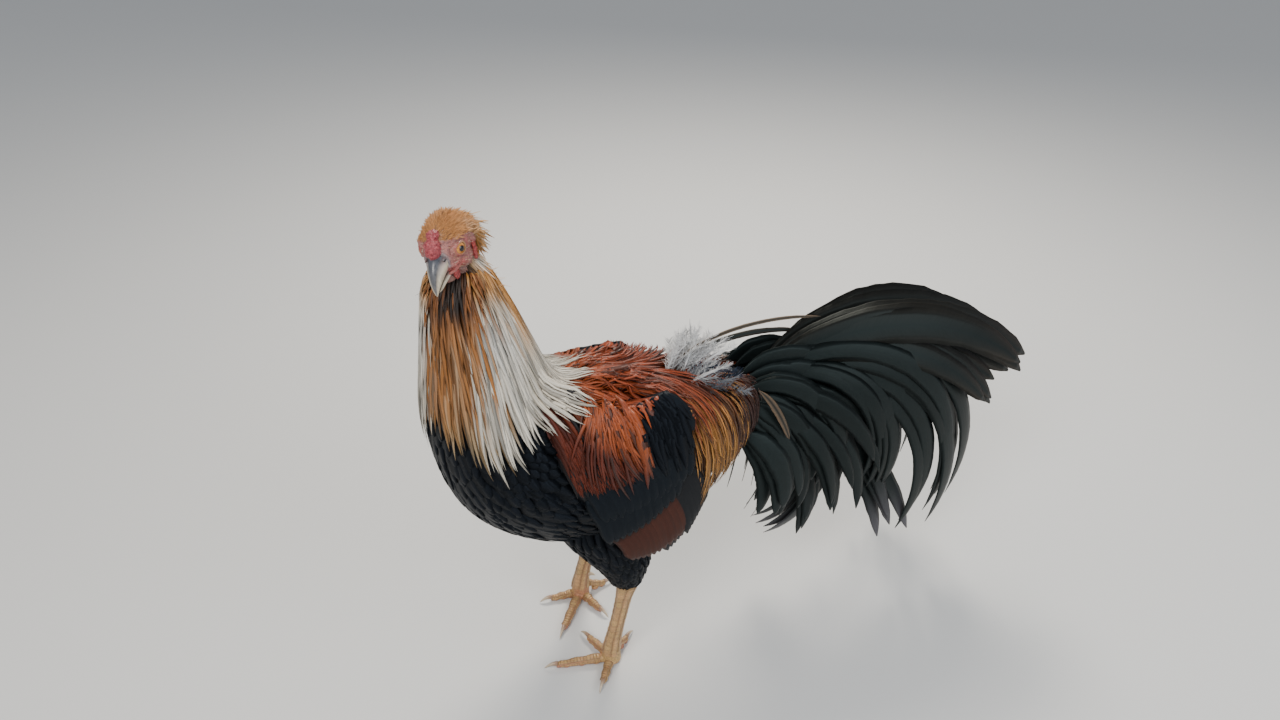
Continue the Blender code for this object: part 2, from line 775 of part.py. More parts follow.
def build_thigh(name, torso):
    side = 1 if name == "left" else -1
    hock_x, hock_y = HOCK[name]
    table = (
        (0.006, side * 0.042, 0.225, 0.048, 0.026),
        (0.004, side * 0.043, 0.195, 0.046, 0.027),
        (-0.006, side * 0.044, 0.165, 0.037, 0.025),
        (-0.013, 0.3 * side * 0.045 + 0.7 * hock_y, 0.140, 0.026, 0.021),
        (-0.016, hock_y, HOCK_HEIGHT + 0.006, 0.0165, 0.0150),
        (hock_x + 0.001, hock_y, HOCK_HEIGHT + GAP, 0.0118, 0.0108),
    )
    thigh = mesh_object(f"thigh_{name}", loft(upright_rings(table, 13, 8)), "body")
    cut(thigh, swollen(torso))
    return thigh


def scute_steps(count):
    """Two levels to a scute: its thick lower edge and its thin upper one."""
    levels = []
    for number in range(count):
        levels.append((number / count, -1.0))
        levels.append(((number + 0.8) / count, 1.0))
    levels.append((1.0, 0.0))
    return levels


def build_shank(name):
    """The bare shank with a row of broad scutes down its front, and the pad under the ankle."""
    ankle_x, ankle_y = ANKLE[name]
    hock_x, hock_y = HOCK[name]
    table = (
        (0.0, HOCK_HEIGHT, 0.0100, 0.0092),
        (0.05, HOCK_HEIGHT - 0.008, 0.0102, 0.0092),
        (0.25, 0.088, 0.0084, 0.0076),
        (0.55, 0.060, 0.0078, 0.0071),
        (0.85, 0.034, 0.0084, 0.0078),
        (1.0, 0.019, 0.0096, 0.0094),
    )
    rings = []
    for part, edge in scute_steps(SHANK_SCUTES):
        lean, z, long_half, wide_half = between(table, part * (len(table) - 1))
        x = hock_x + (ankle_x - hock_x) * lean
        y = hock_y + (ankle_y - hock_y) * lean
        ring = []
        for k in range(10):
            turn = math.tau * k / 10
            front = max(0.0, math.cos(turn)) ** 0.5
            raised = 1.0 + 0.055 * edge * front
            side_on = Vector((long_half * math.cos(turn), wide_half * math.sin(turn), 0))
            ring.append(Vector((x, y, z)) + side_on * raised)
        rings.append(ring)
    for z, radius in ((0.007, 0.0100), (0.0, 0.0080)):
        rings.append(level_ring(Vector((ankle_x, ankle_y, z)), radius, 10))
    shank = mesh_object(f"shank_{name}", loft(rings), "leg")
    inward = -1 if name == "left" else 1
    spur_root = Vector((hock_x, hock_y, 0.045)).lerp(Vector((ankle_x, ankle_y, 0.045)), 0.65)
    spur_root += Vector((-0.005, inward * 0.003, 0))
    spur_way = Vector((-0.75, inward * 0.55, -0.1)).normalized()
    side_way = spur_way.cross(Vector((0, 0, 1))).normalized()
    top_way = side_way.cross(spur_way)
    spur_rings = []
    for distance, radius in ((0.0, 0.0036), (0.0045, 0.0032), (0.0080, 0.0020), (0.0095, 0.0008)):
        spur_rings.append([
            spur_root + spur_way * distance
            + (side_way * math.cos(math.tau * k / 7) + top_way * math.sin(math.tau * k / 7)) * radius
            for k in range(7)
        ])
    fuse(shank, [loft(spur_rings)])


def build_toe(name, kind, ankle, heading, length):
    """A toe lies flat on its pads, with scutes along its top, and its claw curves down in front of it."""
    width = TOE_WIDTH[kind]
    along = Vector((math.cos(math.radians(heading)), math.sin(math.radians(heading)), 0))
    across = Vector((-along.y, along.x, 0))
    root = Vector((ankle[0], ankle[1], 0))
    high_root = 0.013 if kind == "back" else 0.0
    reach = length - 0.012
    count = 8
    rings = []
    for part, edge in scute_steps(TOE_SCUTES[kind]):
        distance = TOE_START + (reach - TOE_START) * part
        swell = 1.0 - 0.30 * part + 0.05 * math.cos(math.tau * 3 * part)
        half = 0.5 * width * swell
        tall = 0.0098 * swell * (0.95 - 0.15 * part)
        lift = high_root * (1.0 - part) ** 1.5
        ring = []
        for k in range(count):
            turn = math.tau * (k + 0.5) / count
            level = min(max(0.5 + 0.55 * math.sin(turn), 0.0), 1.1)
            top = 1.0 + 0.07 * edge * max(0.0, math.sin(turn))
            height = Vector((0, 0, lift + tall * level * top))
            ring.append(root + along * distance + across * half * math.cos(turn) + height)
        rings.append(ring)
    mesh_object(name, loft(rings), "leg")

    claw_rings = []
    for part in steps(0.0, 1.0, 4):
        distance = reach + GAP + 0.0125 * part
        thick = 0.0026 * (1.0 - 0.88 * part)
        middle = 0.0042 - 0.0034 * part ** 1.6
        claw_rings.append([
            root + along * distance
            + across * thick * 0.8 * math.cos(math.tau * k / 6)
            + Vector((0, 0, max(middle + thick * math.sin(math.tau * k / 6), 0.0001)))
            for k in range(6)
        ])
    mesh_object(name.replace("toe", "claw"), loft(claw_rings), "claw")


# Tail

TAIL_ROOT = (-0.182, 0.272)
# A feather: length, rise and droop in degrees, ease of the bend, splay in degrees, width, height of its root
TAIL_QUILLS = (
    (0.235, 24, -22, 0.90, 2.5, 0.040, 0.014),
    (0.225, 12, -34, 0.90, 5.0, 0.040, 0.007),
    (0.200, -2, -46, 0.90, 8.0, 0.038, -0.002),
    (0.165, -20, -60, 0.90, 11.0, 0.034, -0.010),
)
TAIL_SICKLES = (
    (0.358, 46, -38, 0.52, 3.0, 0.044, 0.018),
    (0.346, 36, -50, 0.85, 6.5, 0.040, 0.016),
    (0.408, 34, -111, 0.96, 9.0, 0.028, 0.012),
    (0.390, 22, -114, 0.98, 12.0, 0.026, 0.008),
    (0.290, -13, -71, 0.60, 14.0, 0.024, 0.000),
    (0.264, 26, -113, 0.90, 16.0, 0.024, 0.010),
    (0.226, -38, -156, 1.40, 22.0, 0.023, -0.004),
    (0.180, 0, -105, 0.60, 21.0, 0.026, 0.006),
    (0.150, -25, -110, 0.90, 27.0, 0.026, -0.002),
    (0.130, -5, -100, 0.80, 33.0, 0.026, 0.004),
    (0.105, -30, -100, 0.80, 40.0, 0.024, 0.000),
)
TAIL_ROLL = 24              # degrees that a feather's lower edge leans out


def tail_feather(side, spec, parts, shares):
    """A feather that rises from the rump, arches over and droops, as rows along its arc."""
    length, rise, droop, ease, splay, width, root_height = spec
    splay = math.radians(splay)
    aside = Vector((math.sin(splay), side * math.cos(splay), 0.0))
    point = Vector((TAIL_ROOT[0], side * (0.0015 + 0.011 * math.sin(splay * 2.2)), TAIL_ROOT[1] + root_height))
    centres = []
    outwards = []
    walk = 48
    marks = [round(part * walk) for part in parts]
    for number in range(walk + 1):
        turn = math.radians(rise + (droop - rise) * (number / walk) ** ease)
        level = math.cos(turn)
        way = Vector((-level * math.cos(splay), side * level * math.sin(splay), math.sin(turn)))
        if number in marks:
            roll = Matrix.Rotation(-side * math.radians(TAIL_ROLL), 3, way)
            centres.append(point.copy())
            outwards.append((roll @ aside).normalized())
        point = point + way * length / walk
    return vane(strip_rows(centres, outwards, [width * share for share in shares]))


def build_tail(torso):
    """The tail: a cushion behind the rump, quills in a tent and sickles and coverts over them."""
    table = (
        (-0.1685, 0.262, 0.0190, 0.0200),
        (-0.182, 0.272, 0.0230, 0.0200),
        (-0.200, 0.280, 0.0170, 0.0140),
        (-0.214, 0.284, 0.0070, 0.0050),
    )
    rings = []
    for place in steps(0.0, len(table) - 1.0, 6):
        x, z, tall, wide = between(table, place)
        turns = [math.tau * k / 14 for k in range(14)]
        rings.append([Vector((x, wide * math.cos(turn), z + tall * math.sin(turn))) for turn in turns])
    tail = mesh_object("tail", loft(rings), "tail")
    long_parts = (0.0, 0.16, 0.38, 0.60, 0.82, 1.0)
    long_shares = (0.20, 0.66, 1.0, 1.0, 0.80, 0.15)
    short_parts = (0.0, 0.20, 0.50, 0.78, 1.0)
    short_shares = (0.25, 0.8, 1.0, 0.75, 0.15)
    feathers = []
    for side in (1, -1):
        for spec in TAIL_QUILLS:
            feathers.append(tail_feather(side, spec, short_parts, (0.2, 0.75, 1.0, 0.9, 0.4)))
        for spec in TAIL_SICKLES:
            long = spec[0] > 0.18
            parts, shares = (long_parts, long_shares) if long else (short_parts, short_shares)
            feathers.append(tail_feather(side, spec, parts, shares))
    fuse(tail, feathers)
    cut(tail, swollen(torso))
    return tail


# Put together

torso = build_torso()
neck = build_neck()
head = build_head()
beak = build_beak()
build_comb(head, beak)
build_lobes(head)
tail = build_tail(torso)
wings = []
for side_name, side_sign in (("left", 1), ("right", -1)):
    thigh = build_thigh(side_name, torso)
    build_shank(side_name)
    for toe_kind, (toe_heading, toe_length) in TOES[side_name].items():
        build_toe(f"toe_{toe_kind}_{side_name}", toe_kind, ANKLE[side_name], toe_heading, toe_length)
    wings.append(build_wing(side_name, side_sign, (torso, thigh, neck)))
wing_trees = [tree_of_object(wing) for wing in wings]
add_saddle(torso, wing_trees + [tree_of_object(tail)])
add_hackles(neck, wing_trees + [tree_of_object(torso)])

stance = bpy.data.objects.new("stance", None)
bpy.context.scene.collection.objects.link(stance)
stance.location = ORIGIN_SHIFT
for node in list(bpy.data.objects):
    if node.type == "MESH":
        node.parent = stance
        node.data.shade_smooth()
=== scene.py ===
# %% [markdown]
# # A tan chau cock in full feather
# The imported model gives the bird's place and proportions. This script dresses it: one skin takes
# the place of the flesh, and thousands of thin solid vanes lie over that skin in the order in which
# a real cock's feathers overlap. All numbers are metres in the bird's own frame, where X runs to the
# front, Y to its left and Z up, and `BIRD_AT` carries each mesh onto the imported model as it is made.

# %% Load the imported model
import json
import math
from functools import partial

import bmesh
import bpy
import numpy as np
from mathutils import Matrix, Vector, noise
from mathutils.bvhtree import BVHTree

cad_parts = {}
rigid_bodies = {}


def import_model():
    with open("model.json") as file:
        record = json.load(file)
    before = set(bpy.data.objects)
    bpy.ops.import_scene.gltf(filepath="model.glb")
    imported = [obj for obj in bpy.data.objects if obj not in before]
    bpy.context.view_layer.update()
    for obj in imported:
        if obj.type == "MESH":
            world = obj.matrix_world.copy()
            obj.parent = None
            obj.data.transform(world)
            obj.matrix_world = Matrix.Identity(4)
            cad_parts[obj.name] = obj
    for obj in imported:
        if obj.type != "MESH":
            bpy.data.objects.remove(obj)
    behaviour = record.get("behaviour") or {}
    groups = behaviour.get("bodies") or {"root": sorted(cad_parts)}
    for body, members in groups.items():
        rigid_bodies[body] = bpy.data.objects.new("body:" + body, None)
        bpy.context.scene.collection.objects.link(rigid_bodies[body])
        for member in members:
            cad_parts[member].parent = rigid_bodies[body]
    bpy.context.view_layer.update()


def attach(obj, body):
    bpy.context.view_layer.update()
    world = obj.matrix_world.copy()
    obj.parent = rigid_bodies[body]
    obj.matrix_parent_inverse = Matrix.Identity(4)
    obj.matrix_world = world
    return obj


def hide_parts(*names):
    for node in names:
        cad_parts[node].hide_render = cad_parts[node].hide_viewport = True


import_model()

BIRD_AT = np.array((0.1797, 0.0002, 0.0))

# %% [markdown]
# ## Camera, floor and light
# The camera stands a little to the front of the bird's left side and looks down at it by about 32
# degrees, which the ground's perspective gives away. Broad soft lamps from above keep black plumage
# readable, and one warmer lamp from behind picks out the edges of the hackles as the sun does.

# %% Camera, floor and light
CAMERA_AT = (0.266, 0.7135, 0.83)
CAMERA_PITCH = math.radians(32.4)
CAMERA_HEADING = (-0.4067, -0.9135)
LENS = 28.24
SKY = (0.80, 0.84, 0.90)
SKY_STRENGTH = 0.55
FLOOR_SIZE = 12
FLOOR_DROP = 0.0004          # keeps the paper just under the soles


def look_along(thing, place, direction):
    thing.location = Vector(place) + Vector(BIRD_AT)
    thing.rotation_euler = Vector(direction).to_track_quat("-Z", "Y").to_euler()
    bpy.context.scene.collection.objects.link(thing)


camera = bpy.data.objects.new("camera", bpy.data.cameras.new("camera"))
camera.data.lens = LENS
camera.data.sensor_width = 36
level = math.cos(CAMERA_PITCH)
downwards = (CAMERA_HEADING[0] * level, CAMERA_HEADING[1] * level, -math.sin(CAMERA_PITCH))
look_along(camera, CAMERA_AT, downwards)
bpy.context.scene.camera = camera


def lamp(name, place, aim, size, watts, colour):
    light = bpy.data.lights.new(name, "AREA")
    light.size = size
    light.energy = watts
    light.color = colour
    towards = Vector(aim) - Vector(place)
    look_along(bpy.data.objects.new(name, light), place, towards)


lamp("key_lamp", (0.9, 0.9, 1.5), (-0.05, 0, 0.25), 0.9, 26, (1.0, 0.97, 0.93))
lamp("sun_lamp", (-0.7, -0.9, 1.4), (-0.05, 0, 0.3), 0.5, 30, (1.0, 0.93, 0.82))
lamp("fill_lamp", (-0.9, 1.3, 0.9), (-0.15, 0, 0.2), 1.2, 14, (0.90, 0.95, 1.0))

world = bpy.data.worlds.new("studio")
world.use_nodes = True
sky = world.node_tree.nodes["Background"].inputs
sky["Color"].default_value = (*SKY, 1)
sky["Strength"].default_value = SKY_STRENGTH
bpy.context.scene.world = world
print("camera", tuple(round(v, 3) for v in camera.location), "lens", LENS)

# %% [markdown]
# ## Shader sums
# Materials are easier to read as sums than as lists of links. `Wire` wraps one socket and adds a
# Math node for each sum. Colours go through Mix nodes, because a Math node would turn them grey.

# %% Shader sums
class Wire:
    """One output socket of a finish, which takes part in sums."""

    def __init__(self, finish, socket):
        self.finish = finish
        self.socket = socket

    def math(self, operation, *values):
        return self.finish.node("Math", {"operation": operation}, dict(enumerate(values)))

    def __add__(self, other):
        return self.math("ADD", self, other)

    def __sub__(self, other):
        return self.math("SUBTRACT", self, other)

    def __rsub__(self, other):
        return self.math("SUBTRACT", other, self)

    def __mul__(self, other):
        return self.math("MULTIPLY", self, other)

    __radd__ = __add__
    __rmul__ = __mul__

    def size(self):
        return self.math("ABSOLUTE", self)

    def ramp(self, low, high):
        """0 below low, 1 above high and smooth between, or the other way round."""
        settings = {"interpolation_type": "SMOOTHSTEP"}
        return self.finish.node("MapRange", settings, {"Value": self, "From Min": low, "From Max": high})


# %% Finishes
class Finish:
    """A material in the making: values that don't change sit on the shader's own sockets."""

    def __init__(self, name, roughness=0.5, metallic=0.0, **fixed):
        self.material = bpy.data.materials.new(name)
        self.material.use_nodes = True
        self.tree = self.material.node_tree
        self.shader = self.tree.nodes["Principled BSDF"]
        self.set("Roughness", roughness)
        self.set("Metallic", metallic)
        for socket, value in fixed.items():
            self.set(socket.replace("_", " "), value)

    def set(self, socket, value):
        self.put(self.shader.inputs[socket], value)

    def put(self, socket, value):
        if isinstance(value, Wire):
            self.tree.links.new(value.socket, socket)
        elif socket.type == "RGBA" and len(value) == 3:
            socket.default_value = (*value, 1.0)
        else:
            socket.default_value = value

    def node(self, kind, settings, inputs, output=0):
        made = self.tree.nodes.new("ShaderNode" + kind)
        for setting, value in settings.items():
            setattr(made, setting, value)
        for socket, value in inputs.items():
            self.put(made.inputs[socket], value)
        return Wire(self, made.outputs[output])

    def scaled(self, colour, share):
        return self.node("VectorMath", {"operation": "SCALE"}, {"Vector": colour, "Scale": share})

    def blend(self, first, second, share):
        return self.node("Mix", {"data_type": "RGBA"}, {0: share, 6: first, 7: second}, 2)

    def attribute(self, name, output="Vector"):
        return self.node("Attribute", {"attribute_name": name}, {}, output)

    def split(self, vector):
        node = self.tree.nodes.new("ShaderNodeSeparateXYZ")
        self.put(node.inputs[0], vector)
        return [Wire(self, socket) for socket in node.outputs]

    def join(self, x, y, z):
        return self.node("CombineXYZ", {}, {0: x, 1: y, 2: z})

    def noise(self, place, scale, detail=2.0, roughness=0.5):
        inputs = {"Vector": place, "Scale": scale, "Detail": detail, "Roughness": roughness}
        return self.node("TexNoise", {}, inputs)

    def bump(self, height, depth, strength):
        bump = self.node("Bump", {}, {"Height": height, "Distance": depth, "Strength": strength})
        self.set("Normal", bump)


floor_finish = Finish("floor_paper", roughness=0.9)
floor_finish.set("Base Color", (0.62, 0.62, 0.61))
bpy.ops.mesh.primitive_plane_add(size=FLOOR_SIZE, location=(0, 0, -FLOOR_DROP))
floor = bpy.context.object
floor.name = "floor"
floor.data.materials.append(floor_finish.material)
print("floor paper", FLOOR_SIZE, "m wide")

# %% [markdown]
# ## The body as a row of ovals
# The solids were lofted from this same table of oval sections, so any spot on the coat can be named
# by two numbers: a section along the body, from the rump at 0 to the throat at 12, and an angle from
# the back at 0 over the left side at 90 to the breast at 180. Everything that grows on the body is
# planted with those two numbers, which also serve as the unwrap of the skin.

# %% Body sections
BODY = np.array((
    # x, z, tilt, radius up, radius down, half width
    (-0.168, 0.262, 25, 0.020, 0.020, 0.022),
    (-0.150, 0.262, 25, 0.035, 0.036, 0.038),
    (-0.115, 0.252, 22, 0.054, 0.060, 0.058),
    (-0.070, 0.243, 20, 0.073, 0.078, 0.072),
    (-0.020, 0.243, 20, 0.086, 0.086, 0.080),
    (0.030, 0.255, 28, 0.090, 0.086, 0.082),
    (0.068, 0.280, 45, 0.082, 0.080, 0.080),
    (0.088, 0.310, 62, 0.068, 0.066, 0.070),
    (0.096, 0.345, 78, 0.056, 0.055, 0.058),
    (0.100, 0.385, 84, 0.045, 0.045, 0.046),
    (0.104, 0.420, 86, 0.036, 0.036, 0.036),
    (0.106, 0.446, 90, 0.028, 0.028, 0.028),
    (0.104, 0.462, 90, 0.0195, 0.0195, 0.0195),
))
THROAT_SWING = -0.008
FRONT_OF_NECK = 133.0        # the turned head pulls the throat's colours round to this angle


def between(table, place):
    """Smooth values of a table of rows at places counted in rows."""
    place = np.clip(place, 0, len(table) - 1)
    row = np.minimum(place.astype(int), len(table) - 2)
    part = (place - row)[..., None]
    a = table[np.maximum(row - 1, 0)]
    b = table[row]
    c = table[row + 1]
    d = table[np.minimum(row + 2, len(table) - 1)]
    square = 2 * a - 5 * b + 4 * c - d
    cube = 3 * b - a - 3 * c + d
    return 0.5 * (2 * b + (c - a) * part + square * part ** 2 + cube * part ** 3)


def body_points(place, around, lift=0.0):
    place, around, lift = np.broadcast_arrays(place, around, lift)
    row = between(BODY, np.asarray(place, float))
    x, z, tilt, up, down, half = np.moveaxis(row, -1, 0)
    lean = THROAT_SWING * np.maximum(0.0, place - 9.0) / 3.0
    tilt = np.radians(tilt)
    turn = np.radians(around)
    rise = np.cos(turn)
    tall = np.where(rise > 0, up, down) + lift
    return np.stack((
        x - np.sin(tilt) * rise * tall,
        lean + np.sin(turn) * (half + lift),
        z + np.cos(tilt) * rise * tall,
    ), axis=-1)


body_length = np.linalg.norm(np.diff(BODY[:, :2], axis=0), axis=1).sum()
print("body length along the sections", round(float(body_length), 3))


# %% Small sums
def unit(vectors):
    return vectors / np.maximum(np.linalg.norm(vectors, axis=-1, keepdims=True), 1e-12)


def body_outward(place, around):
    return unit(body_points(place, around, 0.01) - body_points(place, around, 0.0))


def smooth(value, low, high):
    share = np.clip((value - low) / (high - low), 0.0, 1.0)
    return share * share * (3 - 2 * share)


def mix(first, second, share):
    first, second = np.asarray(first, float), np.asarray(second, float)
    return first + (second - first) * np.asarray(share)[..., None]


def wrap(angle):
    return (angle + 180.0) % 360.0 - 180.0


def courses(roots, tips, *parts):
    """Sections and angles along feathers from root to tip, a row of each for every feather."""
    parts = parts * 2 if len(parts) == 1 else parts
    return [roots[:, k, None] + (tips - roots)[:, k, None] * parts[k] for k in (0, 1)]


print("outward side of the back", np.round(body_outward(np.array(4.0), np.array(0.0)), 3))

# %% [markdown]
# ## A feather as a thin solid
# A vane is a strip with a closed cross-section: two thin edges, a raised shaft line between them and
# a flat underside. One function weaves any number of vanes at once from arrays of centre lines. Each
# vane keeps three values for its finish: how far across it a point lies, how far along in metres,
# and a number that is its own. Its patch of the `OFBake` map sits at its root's place on the unwrap.
# Arrays and `foreach_set` make a hundred thousand triangles in a fraction of a second, where a loop
# over Blender's own points would take minutes.

# %% Meshes from arrays
def quad_mesh(name, points, quads):
    mesh = bpy.data.meshes.new(name)
    mesh.vertices.add(len(points))
    mesh.vertices.foreach_set("co", (points + BIRD_AT).astype(np.float32).ravel())
    mesh.loops.add(quads.size)
    mesh.loops.foreach_set("vertex_index", quads.astype(np.int32).ravel())
    mesh.polygons.add(len(quads))
    mesh.polygons.foreach_set("loop_start", np.arange(0, quads.size, 4, dtype=np.int32))
    mesh.update(calc_edges=True)
    mesh.validate()
    return mesh


def paint(mesh, colours):
    """Give each point its colour, the `tint` that the finishes read."""
    colours = np.clip(colours.reshape(-1, 3), 0, 1)
    colours = np.concatenate((colours, np.ones((len(colours), 1))), axis=1).astype(np.float32)
    mesh.attributes.new("tint", "FLOAT_COLOR", "POINT").data.foreach_set("color", colours.ravel())


def mark(mesh, values):
    """Give each point its place on its own vane or horn, the `vane` that the finishes read."""
    values = values.astype(np.float32)
    mesh.attributes.new("vane", "FLOAT_VECTOR", "POINT").data.foreach_set("vector", values.ravel())


def unwrap(mesh, patch):
    """Write the map for baking from a place for each point."""
    corner = np.zeros(len(mesh.loops), np.int32)
    mesh.loops.foreach_get("vertex_index", corner)
    mesh.uv_layers.new(name="OFBake").uv.foreach_set("vector", patch[corner].astype(np.float32).ravel())


def show(name, mesh, finish, replaces=()):
    """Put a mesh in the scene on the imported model's one body, in place of the solids it stands for."""
    made = bpy.data.objects.new(name, mesh)
    bpy.context.scene.collection.objects.link(made)
    mesh.materials.clear()
    mesh.materials.append(finish.material)
    mesh.shade_smooth()
    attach(made, "root")
    if replaces:
        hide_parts(*replaces)
    return made


print("every mesh is carried by", BIRD_AT)

# %% Weaving vanes
# Each point of a cross-section: across, share of the cup's height, depth in thicknesses
SLIM = np.array(((-1, 0, 0), (0, 1, 0), (1, 0, 0), (0, 1, -1)), float)
BROAD = np.array((
    (-1, 0, 0), (-0.55, 0.72, 0), (0, 1, 0), (0.55, 0.72, 0),
    (1, 0, 0), (0.55, 0.72, -1), (0, 1, -1.7), (-0.55, 0.72, -1),
), float)
END_CAPS = {4: ((0, 3, 2, 1),), 8: ((0, 7, 2, 1), (7, 6, 3, 2), (6, 5, 4, 3))}
PATCH = 0.003


class Woven:
    """Many small pieces gathered as arrays and joined into one mesh."""

    def __init__(self, seed):
        self.draw = np.random.default_rng(seed)
        self.parts = []

    def make(self, name, finish):
        """One piece from parts of points, quads, tint, patch and, for vanes, the places on them."""
        counts = [len(part[0]) for part in self.parts]
        firsts = np.cumsum([0] + counts[:-1])
        quads = np.concatenate([part[1] + first for part, first in zip(self.parts, firsts)])
        points, tint, patch = (np.concatenate([part[k] for part in self.parts]) for k in (0, 2, 3))
        mesh = quad_mesh(name, points, quads)
        places = [part[4] for part in self.parts if len(part) > 4]
        if places:
            mark(mesh, np.concatenate(places))
        paint(mesh, tint)
        unwrap(mesh, patch)
        print(name, "triangles", 2 * len(quads))
        return show(name, mesh, finish)


# %% Vanes
class Plumage(Woven):
    """Vanes of one kind of feather."""

    def add(
        self, centres, outwards, widths, middle, edge, homes,
        section=SLIM, thick=0.0003, cup=0.10, jag=0.1, roll=6,
    ):
        """Centre lines and outward sides are vane by row by 3, and homes are roots on the unwrap."""
        vanes, rows = centres.shape[:2]
        middle, edge = (np.broadcast_to(colour, centres.shape) for colour in (middle, edge))
        ahead = unit(np.gradient(centres, axis=1))
        across = unit(np.cross(outwards, ahead))
        turn = np.radians(self.draw.normal(0, roll, (vanes, 1, 1)))
        up = unit(np.cross(ahead, across))
        across, up = across * np.cos(turn) + up * np.sin(turn), up * np.cos(turn) - across * np.sin(turn)
        half = 0.5 * np.broadcast_to(widths, (vanes, rows))
        sides = 1.0 - jag * self.draw.random((vanes, rows, 2))
        points = []
        for x, height, depth in section:
            reach = x * half * (sides[..., 0] if x < 0 else sides[..., 1])
            rise = height * cup * 2 * half + depth * thick * np.minimum(1.0, half / 0.001)
            points.append(centres + across * reach[..., None] + up * rise[..., None])
        points = np.stack(points, axis=2)
        step = np.linalg.norm(np.diff(centres, axis=1), axis=-1)
        run = np.concatenate((np.zeros((vanes, 1)), np.cumsum(step, axis=1)), axis=1)
        count = len(section)
        own = self.draw.random((vanes, 1, 1))
        vane = np.stack((
            np.broadcast_to(section[:, 0], (vanes, rows, count)),
            np.broadcast_to(run[:, :, None], (vanes, rows, count)),
            np.broadcast_to(own, (vanes, rows, count)),
        ), axis=-1)
        rim = np.abs(section[:, 0])[None, None, :, None]
        tint = middle[:, :, None, :] * (1 - rim) + edge[:, :, None, :] * rim
        share = run / run[:, -1:]
        patch = np.stack((
            homes[:, 0, None, None] + section[None, None, :, 0] * PATCH * 0.5 + 0 * run[:, :, None],
            homes[:, 1, None, None] + (share[:, :, None] - 0.5) * PATCH + 0 * section[None, None, :, 0],
        ), axis=-1)
        quads = []
        for row in range(0, (rows - 1) * count, count):
            for k in range(count):
                after = (k + 1) % count
                quads.append((row + k, row + after, row + count + after, row + count + k))
        last = (rows - 1) * count
        quads.extend(END_CAPS[count])
        quads.extend(tuple(last + k for k in cap[::-1]) for cap in END_CAPS[count])
        quads = (np.array(quads)[None] + (np.arange(vanes) * rows * count)[:, None, None]).reshape(-1, 4)
        self.parts.append((
            points.reshape(-1, 3), quads, tint.reshape(-1, 3), patch.reshape(-1, 2), vane.reshape(-1, 3),
        ))


def home_of(roots):
    """The places on the body's unwrap of roots given as section and angle."""
    place, around = np.moveaxis(roots, -1, 0)
    return np.stack((around / 360.0 % 1.0 * 0.98 + 0.01, place / 12.6 * 0.96 + 0.02), axis=-1)


print("points round a slim and a broad vane", len(SLIM), len(BROAD))

# %% [markdown]
# ## Feather finishes
# A real vane is a comb of fine barbs, so light breaks up into hairlines: slanting ones on a broad
# feather and lengthwise ones on a hackle. The colour itself comes from each vane's `tint`; the finish
# adds the hairlines, a darker shaft and a bump, all worked out from the vane's own across and along.

# %% Feather finishes
SHAFT_BLACK = (0.01, 0.01, 0.012)


def feather_finish(
    name, roughness, gloss, hairlines, slant, contrast, depth, shaft=0.0, gloss_tint=(1, 1, 1),
):
    """Hairlines are counted across a slim vane, or along a metre of a broad one with slanting barbs."""
    finish = Finish(name, roughness=roughness, Specular_IOR_Level=gloss, Specular_Tint=gloss_tint)
    across, reach, own = finish.split(finish.attribute("vane"))
    tint = finish.attribute("tint", "Color")
    if slant:
        lines = finish.join((reach - across.size() * slant) * hairlines, across * 1.5, own * 60)
    else:
        lines = finish.join(reach * 26, across * hairlines, own * 60)
    hair = finish.noise(lines, 1.0, 2.0, 0.6)
    broad = finish.noise(finish.join(reach * 30, across * 0.8, own * 90), 1.0, 1.0)
    shade = hair.ramp(0.30, 0.70) * contrast + broad.ramp(0.2, 0.8) * (contrast * 0.5)
    colour = finish.scaled(tint, shade + (1.0 - contrast * 0.75))
    if shaft:
        line = (across.size() + hair * 0.10).ramp(shaft, shaft * 0.4)
        colour = finish.blend(colour, SHAFT_BLACK, line * 0.85)
    finish.set("Base Color", colour)
    finish.bump(hair + across.size().ramp(0.12, 0.0) * 0.5, depth, 0.7)
    return finish


hackle_finish = feather_finish("hackle_feather", 0.50, 0.35, 16, 0, 0.24, 0.0002, shaft=0.10)
small_finish = feather_finish("small_feather", 0.60, 0.30, 12, 0, 0.30, 0.0002)
saddle_finish = feather_finish("saddle_feather", 0.42, 0.35, 11, 0, 0.35, 0.0002, shaft=0.10)
bow_finish = feather_finish("wing_bow_feather", 0.50, 0.22, 9, 0, 0.40, 0.0002)
down_finish = feather_finish("down", 0.85, 0.20, 4, 0, 0.10, 0.00005)
COOL_SHEEN = (0.60, 0.78, 1.0)
GREEN_SHEEN = (0.72, 0.88, 0.84)
black_finish = feather_finish("black_feather", 0.50, 0.11, 1500, 0.004, 0.3, 0.00006, gloss_tint=COOL_SHEEN)
flight_finish = feather_finish("flight_feather", 0.50, 0.14, 1100, 0.008, 0.30, 0.0001)
tail_finish = feather_finish("tail_feather", 0.42, 0.18, 800, 0.012, 0.30, 0.0001, gloss_tint=GREEN_SHEEN)
print("finishes so far", [material.name for material in bpy.data.materials])

# %% [markdown]
# ## One skin under everything
# Under its feathers a cock is one unbroken skin. Closed forms for body, thighs, folded arms and the
# tail's root are lofted a coat's depth inside the solids, thrown together and remeshed with small
# voxels, which melts the joins as flesh does. It keeps the coat's colours, darkened as painted shade,
# so that a chink between feathers reads as shaded coat and doesn't flash pink.

# %% Forms and how they melt
SIDES = {"left": 1, "right": -1}


def ring_angles(count):
    return np.linspace(0, math.tau, count, endpoint=False)


